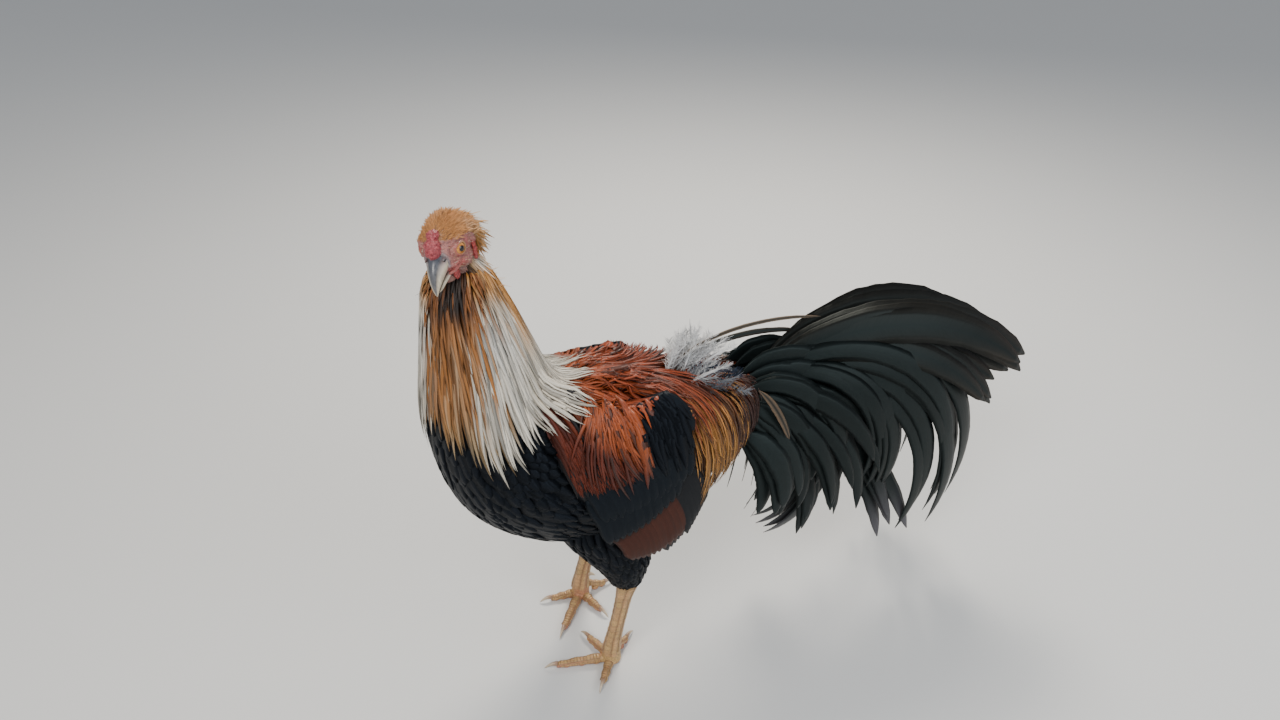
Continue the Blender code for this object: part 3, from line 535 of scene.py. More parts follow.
def loft(rings):
    """Points and faces of a closed skin over rings of equally many points."""
    levels, count = rings.shape[:2]
    points = rings.reshape(-1, 3)
    faces = []
    for level in range(levels - 1):
        for k in range(count):
            a = level * count + k
            b = level * count + (k + 1) % count
            faces.append((a, b, b + count, a + count))
    faces.append(tuple(range(count))[::-1])
    faces.append(tuple(range((levels - 1) * count, levels * count)))
    return points, faces


def mesh_of(name, piece):
    points, faces = piece
    mesh = bpy.data.meshes.new(name)
    mesh.from_pydata([tuple(p) for p in points], [], [tuple(f) for f in faces])
    work = bmesh.new()
    work.from_mesh(mesh)
    bmesh.ops.recalc_face_normals(work, faces=work.faces)
    work.to_mesh(mesh)
    work.free()
    return mesh


def form(name, piece):
    made = bpy.data.objects.new(name, mesh_of(name, piece))
    bpy.context.scene.collection.objects.link(made)
    return made


def melt(name, forms, voxel, smoothing):
    """Forms joined, remeshed with small voxels and smoothed."""
    with bpy.context.temp_override(active_object=forms[0], selected_editable_objects=forms):
        bpy.ops.object.join()
    made = forms[0]
    made.name = name
    remesh = made.modifiers.new("melt", "REMESH")
    remesh.mode = "VOXEL"
    remesh.voxel_size = voxel
    soften = made.modifiers.new("soften", "SMOOTH")
    soften.factor = 0.5
    soften.iterations = smoothing
    bake_modifiers(made)
    return made


def bake_modifiers(thing):
    mesh = bpy.data.meshes.new_from_object(thing.evaluated_get(bpy.context.evaluated_depsgraph_get()))
    thing.modifiers.clear()
    thing.data = mesh


def points_of(mesh):
    return np.array([v.co for v in mesh.vertices])


print("sides of the bird, as the sign of Y", SIDES)

# %% Thighs
COAT = 0.0045
HOCK = {1: (-0.018, 0.046), -1: (-0.022, -0.052)}
HOCK_HEIGHT = 0.112


def thigh_points(side, part, turn, lift=0.0):
    """A spot on a thigh: how far down it is, an angle from its front, and how far off the surface."""
    hock_x, hock_y = HOCK[side]
    table = np.array((
        (0.006, side * 0.042, 0.225, 0.048, 0.026),
        (0.004, side * 0.043, 0.195, 0.046, 0.027),
        (-0.006, side * 0.044, 0.165, 0.037, 0.025),
        (-0.013, 0.3 * side * 0.045 + 0.7 * hock_y, 0.140, 0.026, 0.021),
        (-0.016, hock_y, HOCK_HEIGHT + 0.006, 0.0165, 0.0150),
        (hock_x + 0.001, hock_y, HOCK_HEIGHT, 0.0118, 0.0108),
    ))
    part, turn, lift = np.broadcast_arrays(part, turn, lift)
    x, y, z, long_half, wide_half = np.moveaxis(between(table, np.asarray(part, float) * 5), -1, 0)
    turn = np.radians(turn)
    return np.stack((
        x + (long_half + lift) * np.cos(turn), y + side * (wide_half + lift) * np.sin(turn), z,
    ), axis=-1)


print("front of the left hock", np.round(thigh_points(1, 1.0, 0.0), 3))

# %% [markdown]
# ## The wing's curved side
# A folded wing is a shallow dish against the flank. Two parabolas give that dish, so that one
# formula turns a spot seen from the side, as x and z, into a place in space, for the arm under the
# skin and for every wing feather over it.

# %% The wing's curved side
WING_SHOULDER = np.array((0.048, 0.348))
WING_END = np.array((-0.040, 0.196))
WING_WIDEST = 0.0845         # how far out the dish stands at its middle
WING_MIDDLE = (0.005, 0.25)
RIGHT_DROPS_ABOVE = 0.296    # the right wing is held lower than the left above this height
RIGHT_DROP = 0.72


def wing_points(x, z, side, lift=0.0):
    if side < 0:
        z = z - RIGHT_DROP * np.maximum(z - RIGHT_DROPS_ABOVE, 0)
    bend = np.where(z > WING_MIDDLE[1], 2.9, 1.2)
    out = WING_WIDEST - bend * (z - WING_MIDDLE[1]) ** 2 - 1.6 * (x - WING_MIDDLE[0]) ** 2 + lift
    return np.stack(np.broadcast_arrays(x, side * out, z), axis=-1)


def wing_outward(x, z, side):
    small = 0.002
    along_x = wing_points(x + small, z, side) - wing_points(x - small, z, side)
    along_z = wing_points(x, z + small, side) - wing_points(x, z - small, side)
    outward = unit(np.cross(along_x, along_z))
    return outward * np.sign(outward[..., 1:2] * side)


def wing_arm(side):
    """The folded arm as a closed form between the shoulder and the wing's end."""
    along = WING_END - WING_SHOULDER
    across = np.array((along[1], -along[0])) / np.linalg.norm(along)
    turn = ring_angles(24)
    rings = []
    for part in np.linspace(0, 1, 12):
        x, z = WING_SHOULDER + along * part
        wide = 0.006 + 0.030 * math.sin(math.pi * (0.10 + 0.82 * part)) ** 0.8
        thick = 0.0030 * math.sin(math.pi * (0.08 + 0.84 * part)) - 0.001
        deep = 0.022 - 0.014 * part
        out = np.sin(turn)
        lift = np.where(out > 0, out * thick, out * deep)
        off = wide * np.cos(turn)
        rings.append(wing_points(x + across[0] * off, z + across[1] * off, side, lift))
    return loft(np.array(rings))


print("the wing at its middle stands out", round(float(wing_points(*WING_MIDDLE, 1)[1]), 4))


# %% Melt the skin
angles = np.arange(0, 360, 7.5)
body_places = np.linspace(0, 12, 60)[:, None]
forms = [form("skin", loft(body_points(body_places, angles, -COAT)))]
for side in SIDES.values():
    forms.append(form("thigh", loft(thigh_points(side, np.linspace(0, 1, 14)[:, None], angles, -0.003))))
    forms.append(form("arm", wing_arm(side)))
STUMP = np.array((
    # x, z, half height, half width of the tail's root
    (-0.160, 0.258, 0.026, 0.026), (-0.182, 0.272, 0.020, 0.017),
    (-0.200, 0.280, 0.014, 0.011), (-0.212, 0.284, 0.005, 0.004),
))
x, z, tall, wide = between(STUMP, np.linspace(0, 3, 8)).T[:, :, None]
turn = np.radians(angles)
stump_rings = np.stack(np.broadcast_arrays(x, wide * np.cos(turn), z + tall * np.sin(turn)), axis=-1)
forms.append(form("stump", loft(stump_rings)))
SKIN_VOXEL = 0.003
skin = melt("skin", forms, SKIN_VOXEL, 4)
print("skin triangles", sum(len(p.vertices) - 2 for p in skin.data.polygons))

# %% [markdown]
# ## Colours of the coat
# The cape is golden over the nape, cream to white down its sides and earthy brown in front of the
# throat, with dark shafts. The back is rust and brass. Breast, belly and thighs are black with a cool
# gloss. These rules are written once and serve the skin and every feather.

# %% Colour rules
BLACK = np.array((0.0045, 0.0052, 0.0068))
GOLD = (0.60, 0.27, 0.06)
CREAM = (0.66, 0.55, 0.38)
WHITE = (0.70, 0.67, 0.60)
EARTH = (0.26, 0.088, 0.021)
TIP_BROWN = (0.30, 0.18, 0.065)
RUST = np.array((0.27, 0.046, 0.013))
ORANGE = (0.42, 0.092, 0.023)
BRASS = (0.43, 0.205, 0.055)
UMBER = (0.040, 0.014, 0.009)
MAHOGANY = np.array((0.105, 0.018, 0.009))
BAY = np.array((0.056, 0.015, 0.008))
THROAT_BROWN = (0.040, 0.027, 0.021)
CAPE_EDGE = (27, 32, 37, 50, 64)   # degrees from the throat at which its brown ends, on the left
CAPE_EDGE_AT = (7.2, 8.2, 9.0, 9.8, 10.8)


def cape_colour(place, around, part):
    """A hackle's colour from where it is planted and how far along it we look."""
    turned = wrap(around - FRONT_OF_NECK)
    from_front = np.abs(turned)
    brown = from_front / np.where(turned < 0, np.interp(place, CAPE_EDGE_AT, CAPE_EDGE), 34)
    gold = mix(GOLD, CREAM, smooth(from_front, 110, 60) * smooth(place, 11.3, 10.1))
    upper = np.clip(smooth(place, 11.2, 9.4) + 0.35 * part - 0.1, 0, 1) * smooth(from_front, 112, 84)
    side = mix(gold, WHITE, np.maximum(upper, smooth(place, 9.7, 8.5)))
    side = mix(side, CREAM, 0.25 * smooth(place, 9.6, 8.6))
    front = mix(EARTH, GOLD, 0.30 * smooth(place, 11.5, 8.5))
    front = mix(front, TIP_BROWN, smooth(place, 8.6, 7.4))
    throat = smooth(place, 9.9, 10.8) * smooth(np.abs(turned + 14), 28, 12)
    front = mix(front, THROAT_BROWN, throat)
    return mix(front, side, smooth(brown, 0.82, 1.16))


def back_colour(place, part, tip, outer):
    """A saddle feather's colour from the spot we look at, its tip's section and how far out it hangs."""
    base = mix(RUST, ORANGE, smooth(place, 4.0, 6.2))
    hanging = mix(base, BRASS, smooth(part, 0.35, 0.75) * smooth(tip, 1.5, 1.9) * smooth(outer, 0.45, 0.75))
    return mix(hanging, UMBER, smooth(tip, 2.0, 1.5) * smooth(part, 0.3, 0.7))


print("colour of a hackle at the nape", np.round(cape_colour(11.0, 0.0, 0.5), 3))

# %% [markdown]
# ## Colours of the skin
# The melted skin has lost its sections and angles. Each of its points takes them from the nearest
# node of a grid laid over the body's table, and then follows the same colour rules as the feathers.

# %% Colours of the skin
grid = body_points(np.linspace(0, 12, 49)[:, None], np.arange(0, 360, 10), -COAT).reshape(-1, 3)
skin_points = points_of(skin.data)
near = np.array([np.argmin(((grid - p) ** 2).sum(1)) for p in skin_points])
skin_place = (near // 36) * 0.25
skin_around = (near % 36) * 10.0
# Painted shade: on the skin the coat's colours are darkened, to half on the neck, to a third under the back
# and to 0.6 on the arms, so that chinks between feathers read as shaded coat.
tint = mix(BLACK, cape_colour(skin_place, skin_around, 0.3) * 0.5, smooth(skin_place, 7.6, 8.4))
on_back = smooth(np.abs(wrap(skin_around)), 34, 20)
on_back = on_back * smooth(skin_place, 6.5, 5.0) * smooth(skin_place, 1.2, 2.0)
tint = mix(tint, RUST * 0.35, on_back)
x, y, z = skin_points.T
on_arm = smooth(np.abs(y), 0.050, 0.060) * smooth(z, 0.262, 0.272) * smooth(x, 0.075, 0.065)
paint(skin.data, mix(tint, MAHOGANY * 0.6, on_arm))
skin_finish = Finish("feather_skin", roughness=0.8)
skin_finish.set("Base Color", skin_finish.attribute("tint", "Color"))
skin.data.transform(Matrix.Translation(BIRD_AT))
FLESH = ("torso", "neck", "thigh_left", "thigh_right", "tail", "wing_left", "wing_right")
skin_piece = show("skin", skin.data.copy(), skin_finish, FLESH)
bpy.data.objects.remove(skin)
print("share of the skin under rust feathers", round(float(on_back.mean()), 2))

# %% [markdown]
# ## Black contour feathers
# Breast, belly, flanks and thighs carry short round feathers that overlap like tiles. They are
# planted row by row from the tail end of each overlap upwards, so that the ones nearer to the head
# lie on top. Each starts on the skin and its tip rides a few millimetres above it.

# %% Black contour feathers
CONTOUR_PARTS = np.array((0.0, 0.15, 0.35, 0.6, 0.8, 0.93, 1.0))
CONTOUR_WIDTHS = np.array((0.35, 0.70, 0.95, 1.0, 0.85, 0.55, 0.10))


CONTOUR_SPACING = 0.0080


def half_width(place):
    return float(between(BODY, np.array(place))[5])


def lie_on_body(place, around, lifts):
    """Centre lines and outward sides of vanes from the sections and angles that they run over."""
    return body_points(place, around, lifts), body_outward(place, around)


def staggered(places, counts):
    """Roots in rows round a form, every other row moved on by half a step, like tiles."""
    rows = []
    for number, (place, count) in enumerate(zip(places, counts)):
        around = (np.arange(count) + 0.5 * (number % 2)) * 360 / count
        rows.append(np.stack((np.full(count, place), around), axis=1))
    return np.concatenate(rows)


black = Plumage(21)
places = np.arange(0.5, 9.2, 0.22)
roots = staggered(places, [int(math.tau * half_width(place) / CONTOUR_SPACING) for place in places])
roots += black.draw.normal(0, 1, roots.shape) * (0.05, 1.2)
tips = roots - np.stack((np.full(len(roots), 0.72), black.draw.normal(0, 2.0, len(roots))), axis=1)
tips[:, 0] = np.maximum(tips[:, 0], 0.02)
rise = black.draw.uniform(-0.0003, 0.0003, (len(roots), 1))
lifts = -COAT + 0.0002 + (COAT - 0.0008 + rise) * CONTOUR_PARTS ** 0.7
centres, outwards = lie_on_body(*courses(roots, tips, CONTOUR_PARTS), lifts)
tone = black.draw.uniform(0.8, 1.3, (len(roots), 1, 1)) * BLACK
place, around = roots.T
on_top = smooth(np.abs(wrap(around)), 36, 20) * smooth(place, 6.6, 5.2) * smooth(place, 2.0, 3.2)
tone = mix(tone, RUST * 0.5, on_top[:, None])
widths = 0.0150 * CONTOUR_WIDTHS
black.add(centres, outwards, widths, tone, tone * 1.1, home_of(roots), cup=0.04, jag=0.16, roll=3)
black.make("body_feathers", black_finish)

# %% Black feathers of the thighs
trousers = Plumage(22)
for side in SIDES.values():
    parts = np.linspace(0.92, 0.05, 17)
    roots = staggered(parts, [26 if part < 0.6 else 18 for part in parts])
    reach = np.minimum(roots[:, 0] + 0.20, 1.0)
    part = roots[:, 0:1] + (reach - roots[:, 0])[:, None] * CONTOUR_PARTS
    turn = roots[:, 1:2] + trousers.draw.normal(0, 3, (len(roots), 1)) * CONTOUR_PARTS
    lift = -0.003 + (0.0045 + trousers.draw.uniform(-0.0006, 0.0010, (len(roots), 1))) * CONTOUR_PARTS
    centres = thigh_points(side, part, turn, lift)
    outwards = unit(thigh_points(side, part, turn, lift + 0.01) - centres)
    tone = trousers.draw.uniform(0.7, 1.4, (len(roots), 1, 1)) * BLACK
    homes = np.stack((roots[:, 1] / 720 + (0.5 if side < 0 else 0.0), roots[:, 0] * 0.9 + 0.04), axis=1)
    trousers.add(centres, outwards, 0.0120 * CONTOUR_WIDTHS, tone, tone * 1.1, homes, jag=0.25)
trousers.make("thigh_feathers", black_finish)

# %% [markdown]
# ## Wings
# A folded wing shows its layers from the bottom up: the stiff secondaries close into one bay
# triangle, a row of glossy black coverts crosses them as the wing bar, and small silky feathers
# cover the shoulder from mahogany to orange. Each layer is laid on the wing's curved side, rear rows
# over front ones, and every next layer rides a little higher.

# %% Laying a row on the wing
FLIGHT_PARTS = np.linspace(0, 1, 12)
FLIGHT_WIDTHS = np.array((0.35, 0.7, 0.9, 1.0, 1.0, 1.0, 1.0, 1.0, 0.98, 0.85, 0.55, 0.12))
SILK_PARTS = np.linspace(0, 1, 8)
SILK_WIDTHS = np.array((0.4, 0.8, 1.0, 1.0, 0.9, 0.7, 0.4, 0.08))


ROOT_DIP = 0.004             # how deep a root goes under its neighbours


def wing_layer(plumage, side, roots, tips, parts, widths, lifts, middle, edge, section, bow, jag):
    """A layer of wing feathers between root and tip spots on the wing's side, as x and z."""
    x, z = courses(roots, tips, parts)
    x = x - bow * np.sin(math.pi * parts)
    centres = wing_points(x, z, side, lifts - ROOT_DIP * (1 - parts) ** 6)
    homes = np.stack((roots[:, 0] * 2.4 + (0.27 if side > 0 else 0.77), (roots[:, 1] - 0.14) * 4.2), axis=1)
    plumage.add(centres, wing_outward(x, z, side), widths, middle, edge, homes, section, jag=jag, roll=3)


def row_of(front, rear, count, sag=0.0):
    """Spots in a row from the wing's front to its rear, whose middle may sag."""
    share = np.linspace(0, 1, count)
    spots = np.array(front) + (np.array(rear) - np.array(front)) * share[:, None]
    spots[:, 1] -= sag * np.sin(math.pi * share)
    return spots


def stiff_row(plumage, side, roots, tips, count, sag, width, lift, climb, middle, edge, bow=0.006):
    """A row of stiff feathers, each of which rides a little higher than the one before it."""
    wing_layer(
        plumage, side, row_of(*roots, count), row_of(*tips, count, sag), FLIGHT_PARTS, width * FLIGHT_WIDTHS,
        lift + climb * np.linspace(0, 1, count)[:, None], middle, edge, BROAD, bow, 0.08,
    )


print("outward side at the wing's middle", np.round(wing_outward(*WING_MIDDLE, 1), 2))

# %% [markdown]
# ## The wing's rows
# The rows are given by the spots where their first and last feather start and end, measured on the
# photo and carried onto the wing's side. Only the outer half of a secondary is bay: the rest of it is
# black, as on the real wing, and shows where the rows above part.

# %% Flights and bars
BAR_GLOSS = np.array((0.0042, 0.0054, 0.0070))
BAY_BEGINS = (0.22, 0.34)    # how far along a secondary its bay begins and is full
FLIGHT_ROWS = (
    # roots and tips of the first and last feather, how many, sag, width, lift, climb
    (((-0.010, 0.216), (-0.036, 0.232)), ((-0.050, 0.160), (-0.072, 0.180)), 7, 0, 0.0130, 0.0010, 0.0003),
    (((0.018, 0.224), (-0.034, 0.260)), ((-0.010, 0.170), (-0.066, 0.182)), 11, .008, 0.0175, 0.0030, 0.0016),
    (((-0.036, 0.262), (-0.056, 0.270)), ((-0.068, 0.178), (-0.084, 0.212)), 8, 0, 0.0150, 0.0050, 0.0006),
)
BAR_ROWS = (
    (((0.036, 0.262), (-0.034, 0.290)), ((0.016, 0.206), (-0.052, 0.238)), 12, 0.0056),
    (((0.040, 0.284), (-0.050, 0.306)), ((0.020, 0.234), (-0.064, 0.256)), 12, 0.0064),
    (((0.020, 0.310), (-0.044, 0.322)), ((-0.018, 0.262), (-0.066, 0.276)), 9, 0.0070),
    (((0.000, 0.334), (-0.046, 0.338)), ((-0.030, 0.288), (-0.070, 0.300)), 8, 0.0074),
)
bay = mix(BLACK, BAY, smooth(FLIGHT_PARTS, *BAY_BEGINS))
FLIGHT_COLOURS = (BLACK * 1.2, BLACK * 1.6), (bay * 0.7, bay), (BLACK, BLACK * 1.2)
flights = Plumage(31)
bars = Plumage(32)
for side in SIDES.values():
    for row, colours in zip(FLIGHT_ROWS, FLIGHT_COLOURS):
        stiff_row(flights, side, *row, *colours)
    for *row, lift in BAR_ROWS:
        stiff_row(bars, side, *row, 0.006, 0.0150, lift, 0.0008, BAR_GLOSS, BAR_GLOSS * 1.5, 0.004)
print("rows of flights and of bars", len(flights.parts), len(bars.parts))

# %% [markdown]
# ## Silk of the shoulder
# The bows are hundreds of small loose feathers, so they are scattered, not set in rows: each root is
# drawn inside the shoulder's patch, and the low ones are laid first. Mahogany turns to orange across
# a slanting seam, and dark feathers gather along that seam, as on the bird.

# %% Bows
BOW_COUNT = 620
BOW_FRONT = (0.068, 0.360), (0.056, 0.302)      # top and bottom of the patch, as x and z
BOW_REAR = (-0.010, 0.352), (-0.006, 0.300)
BOW_FALL = (-0.014, -0.032)
SEAM_SLANT = 0.85
SEAM_AT = 0.306
DARK_SILK = (0.010, 0.008, 0.009)


def bow_colour(x, z, part):
    """Red of the wing's bows, which turns from mahogany in front and below to orange above and behind."""
    low = mix(MAHOGANY * 0.62, RUST, 0.24 * part)
    return mix(low, ORANGE, 0.74 * smooth(z - SEAM_SLANT * x, 0.299, 0.327))


def down_the_patch(top, bottom, share):
    return np.array(top) + (np.array(bottom) - top) * share[:, None]


bows = Plumage(33)
for side in SIDES.values():
    share = np.sqrt(np.linspace(0.02, 1, BOW_COUNT))
    swing = bows.draw.random(BOW_COUNT)
    front = down_the_patch(*BOW_FRONT, share)
    rear = down_the_patch(*BOW_REAR, share)
    roots = front + (rear - front) * swing[:, None]
    roots = roots[np.argsort(roots[:, 1])]
    tips = roots + (np.array(BOW_FALL) + bows.draw.normal(0, 0.0025, roots.shape))
    x, z = roots[:, :1], roots[:, 1:]
    red = bow_colour(x, z, SILK_PARTS) * bows.draw.uniform(0.55, 1.25, (BOW_COUNT, 1, 1))
    at_seam = np.exp(-((z - SEAM_SLANT * x - SEAM_AT) / 0.005) ** 2)
    red = mix(red, DARK_SILK, bows.draw.random((BOW_COUNT, 1)) < 0.12 + 0.45 * at_seam)
    tuck = 0.0020 + 0.0060 * smooth(z, 0.332, 0.350)
    lift = 0.0074 + 0.0030 * np.linspace(0, 1, BOW_COUNT)[:, None] - tuck * (1 - SILK_PARTS) ** 3
    widths = 0.0056 * SILK_WIDTHS
    wing_layer(bows, side, roots, tips, SILK_PARTS, widths, lift, red * 0.75, red, SLIM, 0.002, 0.2)
wing_pieces = [
    flights.make("wing_flights", flight_finish),
    bars.make("wing_bars", black_finish),
    bows.make("wing_bows", bow_finish),
]

# %% [markdown]
# ## Draping long feathers
# Hackles and saddle feathers hang over the wings, so they can't follow the body's table alone. Each
# is first laid over the bare body, then every point looks straight down through whatever has been
# laid before it, and rises until it clears that by the thickness of a feather. A short smoothing
# along the vane keeps it from kinking.

# %% Draping
def tree_of(*pieces):
    """What the next feathers lie on, as one tree of faces in the bird's frame."""
    points = []
    faces = []
    for piece in pieces:
        first = len(points)
        points.extend(v.co - Vector(BIRD_AT) for v in piece.data.vertices)
        faces.extend(tuple(first + k for k in f.vertices) for f in piece.data.polygons)
    return BVHTree.FromPolygons(points, faces)


REACH = 0.03                 # how far above the body it looks for what lies underneath


def drape(centres, outwards, tree, air):
    """Raise points along their outward sides until they clear what lies under them."""
    needed = np.zeros(centres.shape[:2])
    for vane in range(len(centres)):
        for row in range(1, centres.shape[1]):
            up = Vector(outwards[vane, row])
            hit = tree.ray_cast(Vector(centres[vane, row]) + up * REACH, -up, REACH + air)
            if hit[0] is not None:
                needed[vane, row] = REACH - hit[3] + air
    soft = needed.copy()
    for _ in range(3):
        eased = 0.25 * soft[:, :-2] + 0.5 * soft[:, 1:-1] + 0.25 * soft[:, 2:]
        soft[:, 1:-1] = np.maximum(needed[:, 1:-1], eased)
    return centres + outwards * soft[..., None]


def rising(parts, pace, hang, full):
    """Lifts that climb from the skin to the coat's surface and then hang clear of it."""
    return np.minimum(-COAT + pace * parts, 0) + hang * smooth(parts, 0, full)


under = tree_of(skin_piece, *wing_pieces)
print("pieces under the saddle", 1 + len(wing_pieces))

# %% [markdown]
# ## Saddle
# From the middle of the back long pointed feathers run backwards beside the spine and then fall over
# the rump beside the tail. They are rusty at the root, brass where they hang behind the wing, and
# each has a dark line down its shaft. To keep them along the spine at first, the angle round the
# body grows with a high power of the way along, while the section slows down towards the tip.

# %% How the saddle hangs
LONG_PARTS = np.linspace(0, 1, 12)
LONG_WIDTHS = np.array((0.30, 0.60, 0.85, 1.0, 1.0, 0.95, 0.90, 0.80, 0.65, 0.45, 0.25, 0.05))
SADDLE_EDGE = np.array((
    # section, angle and lift of the hanging edge, from behind the wing to the rump
    (2.9, 103, 0.004), (2.35, 121, 0.008), (1.75, 130, 0.014), (1.25, 92, 0.012), (0.95, 30, 0.006),
))
SADDLE_LIMIT_AT = (2.2, 2.6, 3.1, 3.3, 3.85, 4.6, 6.0)
SADDLE_LIMIT = (135, 112, 71, 50, 28, 19, 15)       # the angle that the saddle doesn't pass there
SADDLE_ALONG = 1 - (1 - LONG_PARTS) ** 1.45
SADDLE_ASIDE = LONG_PARTS ** 1.75


def saddle_limit(place):
    return np.interp(place, SADDLE_LIMIT_AT, SADDLE_LIMIT)


def fullness(place, around):
    """How far the coat stands off in the hollow between the spine and the wing's shoulder."""
    hollow = np.exp(-((np.abs(wrap(around)) - 46) / 26) ** 2)
    return 0.003 * hollow * smooth(place, 3.2, 4.8) * smooth(place, 7.4, 6.4)


print("how far round the saddle may hang", saddle_limit(np.array((1.0, 4.0))))

# %% Saddle
SADDLE_LAYERS = (
    # added to the root's and to the tip's section, share of the turn, feathers on each side
    (-0.3, -0.1, 1.05, 84), (0.3, 0.2, 0.95, 84), (0.9, 0.5, 0.80, 80), (1.4, 0.9, 0.66, 74),
    (1.9, 1.4, 0.50, 66), (2.4, 2.0, 0.34, 58), (2.9, 2.7, 0.18, 44),
)
SADDLE_WIDTH = 0.0042
saddle = Plumage(41)
for layer, (more_root, more_tip, turn_share, count) in enumerate(SADDLE_LAYERS):
    for side in SIDES.values():
        share = np.clip(np.linspace(0, 1, count) + saddle.draw.normal(0, 0.010, count), 0, 1)
        edge = between(SADDLE_EDGE, share * 4)
        jitter = saddle.draw.normal(0, 1, (count, 3))
        roots = np.stack((3.7 - 1.9 * share + more_root, side * (34 - 22 * share) * turn_share), axis=1)
        roots += jitter[:, :2] * (0.12, 2.0)
        tips = np.stack((edge[:, 0] + more_tip, side * edge[:, 1] * turn_share), axis=1)
        tips += jitter[:, [2, 0]] * (0.14, 2.5)
        place, around = courses(roots, tips, SADDLE_ALONG, SADDLE_ASIDE)
        limit = saddle_limit(place) * saddle.draw.uniform(0.55, 1.08, (count, 1))
        around = side * np.minimum(side * around, limit)
        hang = 0.0008 + 0.0006 * layer + edge[:, 2:3] * LONG_PARTS ** 2 + fullness(place, around)
        centres, outwards = lie_on_body(place, around, rising(LONG_PARTS, 0.10, hang, 0.15))
        centres = drape(centres, outwards, under, 0.0006)
        tone = tips[:, :1] + 0.30 * saddle.draw.normal(0, 1, (count, 1))
        colour = back_colour(place, LONG_PARTS, tone, turn_share)
        colour = colour * saddle.draw.uniform(0.45, 1.35, (count, 1, 1))
        colour = mix(colour, UMBER, 0.8 * (saddle.draw.random((count, 1)) < 0.24))
        width = SADDLE_WIDTH * LONG_WIDTHS * saddle.draw.uniform(0.75, 1.2, (count, 1))
        saddle.add(centres, outwards, width, colour * 0.75, colour, home_of(roots), jag=0.12, roll=7)
saddle_piece = saddle.make("saddle_feathers", saddle_finish)

# %% [markdown]
# ## Mantle
# Shorter rust and orange feathers bridge the hollow between the spine and the wings' shoulders, from
# under the cape to where the saddle begins. They are laid like the black ones, rear rows first, but
# over the wings, so that back and wings read as one coat.

# %% Mantle
MANTLE_PARTS = np.linspace(0, 1, 8)
MANTLE_WIDTHS = np.array((0.35, 0.80, 1.0, 1.0, 0.92, 0.75, 0.45, 0.06))
MANTLE_REACH = (4.9, 5.6, 6.4, 7.5), (46, 50, 46, 34)      # sections, and how far round the mantle goes there
MANTLE_SPACING = 0.0036
MANTLE_HALF = 0.084          # the back's half width under the mantle
REAR = (4.6, 5.1)            # sections between which the mantle's rear feathers give way to its front ones
under = tree_of(skin_piece, *wing_pieces, saddle_piece)
mantle = Plumage(42)
flank = Plumage(43)
roots = []
for number, place in enumerate(np.arange(3.9, 7.5, 0.13)):
    reach = float(np.interp(place, *MANTLE_REACH))
    count = int(2 * reach * MANTLE_HALF / 57.3 / MANTLE_SPACING)
    around = np.linspace(-reach, reach, count) + reach / count * (number % 2)
    roots.append(np.stack((np.full(count, place), around), axis=1))
roots = np.concatenate(roots)
roots += mantle.draw.normal(0, 1, roots.shape) * (0.06, 1.6)
length = np.interp(roots[:, 0], REAR, (0.58, 1.0)) * mantle.draw.uniform(0.70, 1.20, len(roots))
tips = roots * (1, 1.55) - np.stack((length, mantle.draw.normal(0, 2.5, len(roots))), axis=1)
beside = np.abs(tips[:, 1]) > saddle_limit(tips[:, 0]) + 4
beside &= np.abs(roots[:, 1]) > saddle_limit(roots[:, 0]) + 3
kept = (beside & (roots[:, 0] < 4.85)) | (tips[:, 0] > 4.15)
roots, tips = roots[kept], tips[kept]
count = len(roots)
place, around = courses(roots, tips, MANTLE_PARTS)
hang = mantle.draw.uniform(0.0004, 0.0016, (count, 1)) + fullness(place, around)
centres, outwards = lie_on_body(place, around, rising(MANTLE_PARTS, 0.06, hang, 0.3))
centres = drape(centres, outwards, under, 0.0007)
colour = mix(RUST, ORANGE, 0.9 * smooth(place, 4.2, 6.4) * mantle.draw.uniform(0.4, 1.0, (count, 1)))
on_wing = bow_colour(centres[..., 0], centres[..., 2] + 0.012, MANTLE_PARTS)
colour = mix(colour, on_wing, smooth(np.abs(around), 34, 52))
colour = colour * mantle.draw.uniform(0.55, 1.3, (count, 1, 1))
colour = mix(colour, UMBER, 0.85 * (mantle.draw.random((count, 1)) < 0.16))
width = np.interp(roots[:, :1], REAR, (0.0090, 0.0050)) * MANTLE_WIDTHS
width = width * mantle.draw.uniform(0.75, 1.25, (count, 1))
homes = home_of(roots)
red = tips[:, 0] > 4.1       # the rest lie behind the wing and are as black as the flank
for plumage, own, middle, edge, look in (
    (mantle, red, colour[red] * 0.75, colour[red], {"cup": 0.08, "roll": 8}),
    (flank, ~red, BLACK, BLACK * 1.2, {"cup": 0.04, "roll": 4}),
):
    plumage.add(centres[own], outwards[own], width[own], middle, edge, homes[own], jag=0.15, **look)
mantle_piece = mantle.make("mantle_feathers", saddle_finish)
flank.make("flank_feathers", black_finish)

# %% [markdown]
# ## Hackles
# The cape is what makes the bird. Some eleven hundred narrow hackles start all round the neck and
# reach the same hem, low over the back and higher on the breast, so the lower ones are long and the
# ones behind the head are short. Lower rows are laid first and upper rows hang over them.

# %% Hackles
HEM_ANGLES = (0, 10, 20, 45, 60, 75, 98, 112, 135, 180)
HEM = (5.45, 5.75, 6.15, 6.65, 7.05, 7.30, 7.10, 7.15, 7.40, 7.70)
HACKLE_ROWS = 19
GOLDEN_TURN = 137            # degrees from one row's first feather to the next row's, so that none line up


def hem(around):
    """The section that the cape's hem reaches at an angle from the spine."""
    return np.interp(np.abs(around), HEM_ANGLES, HEM)


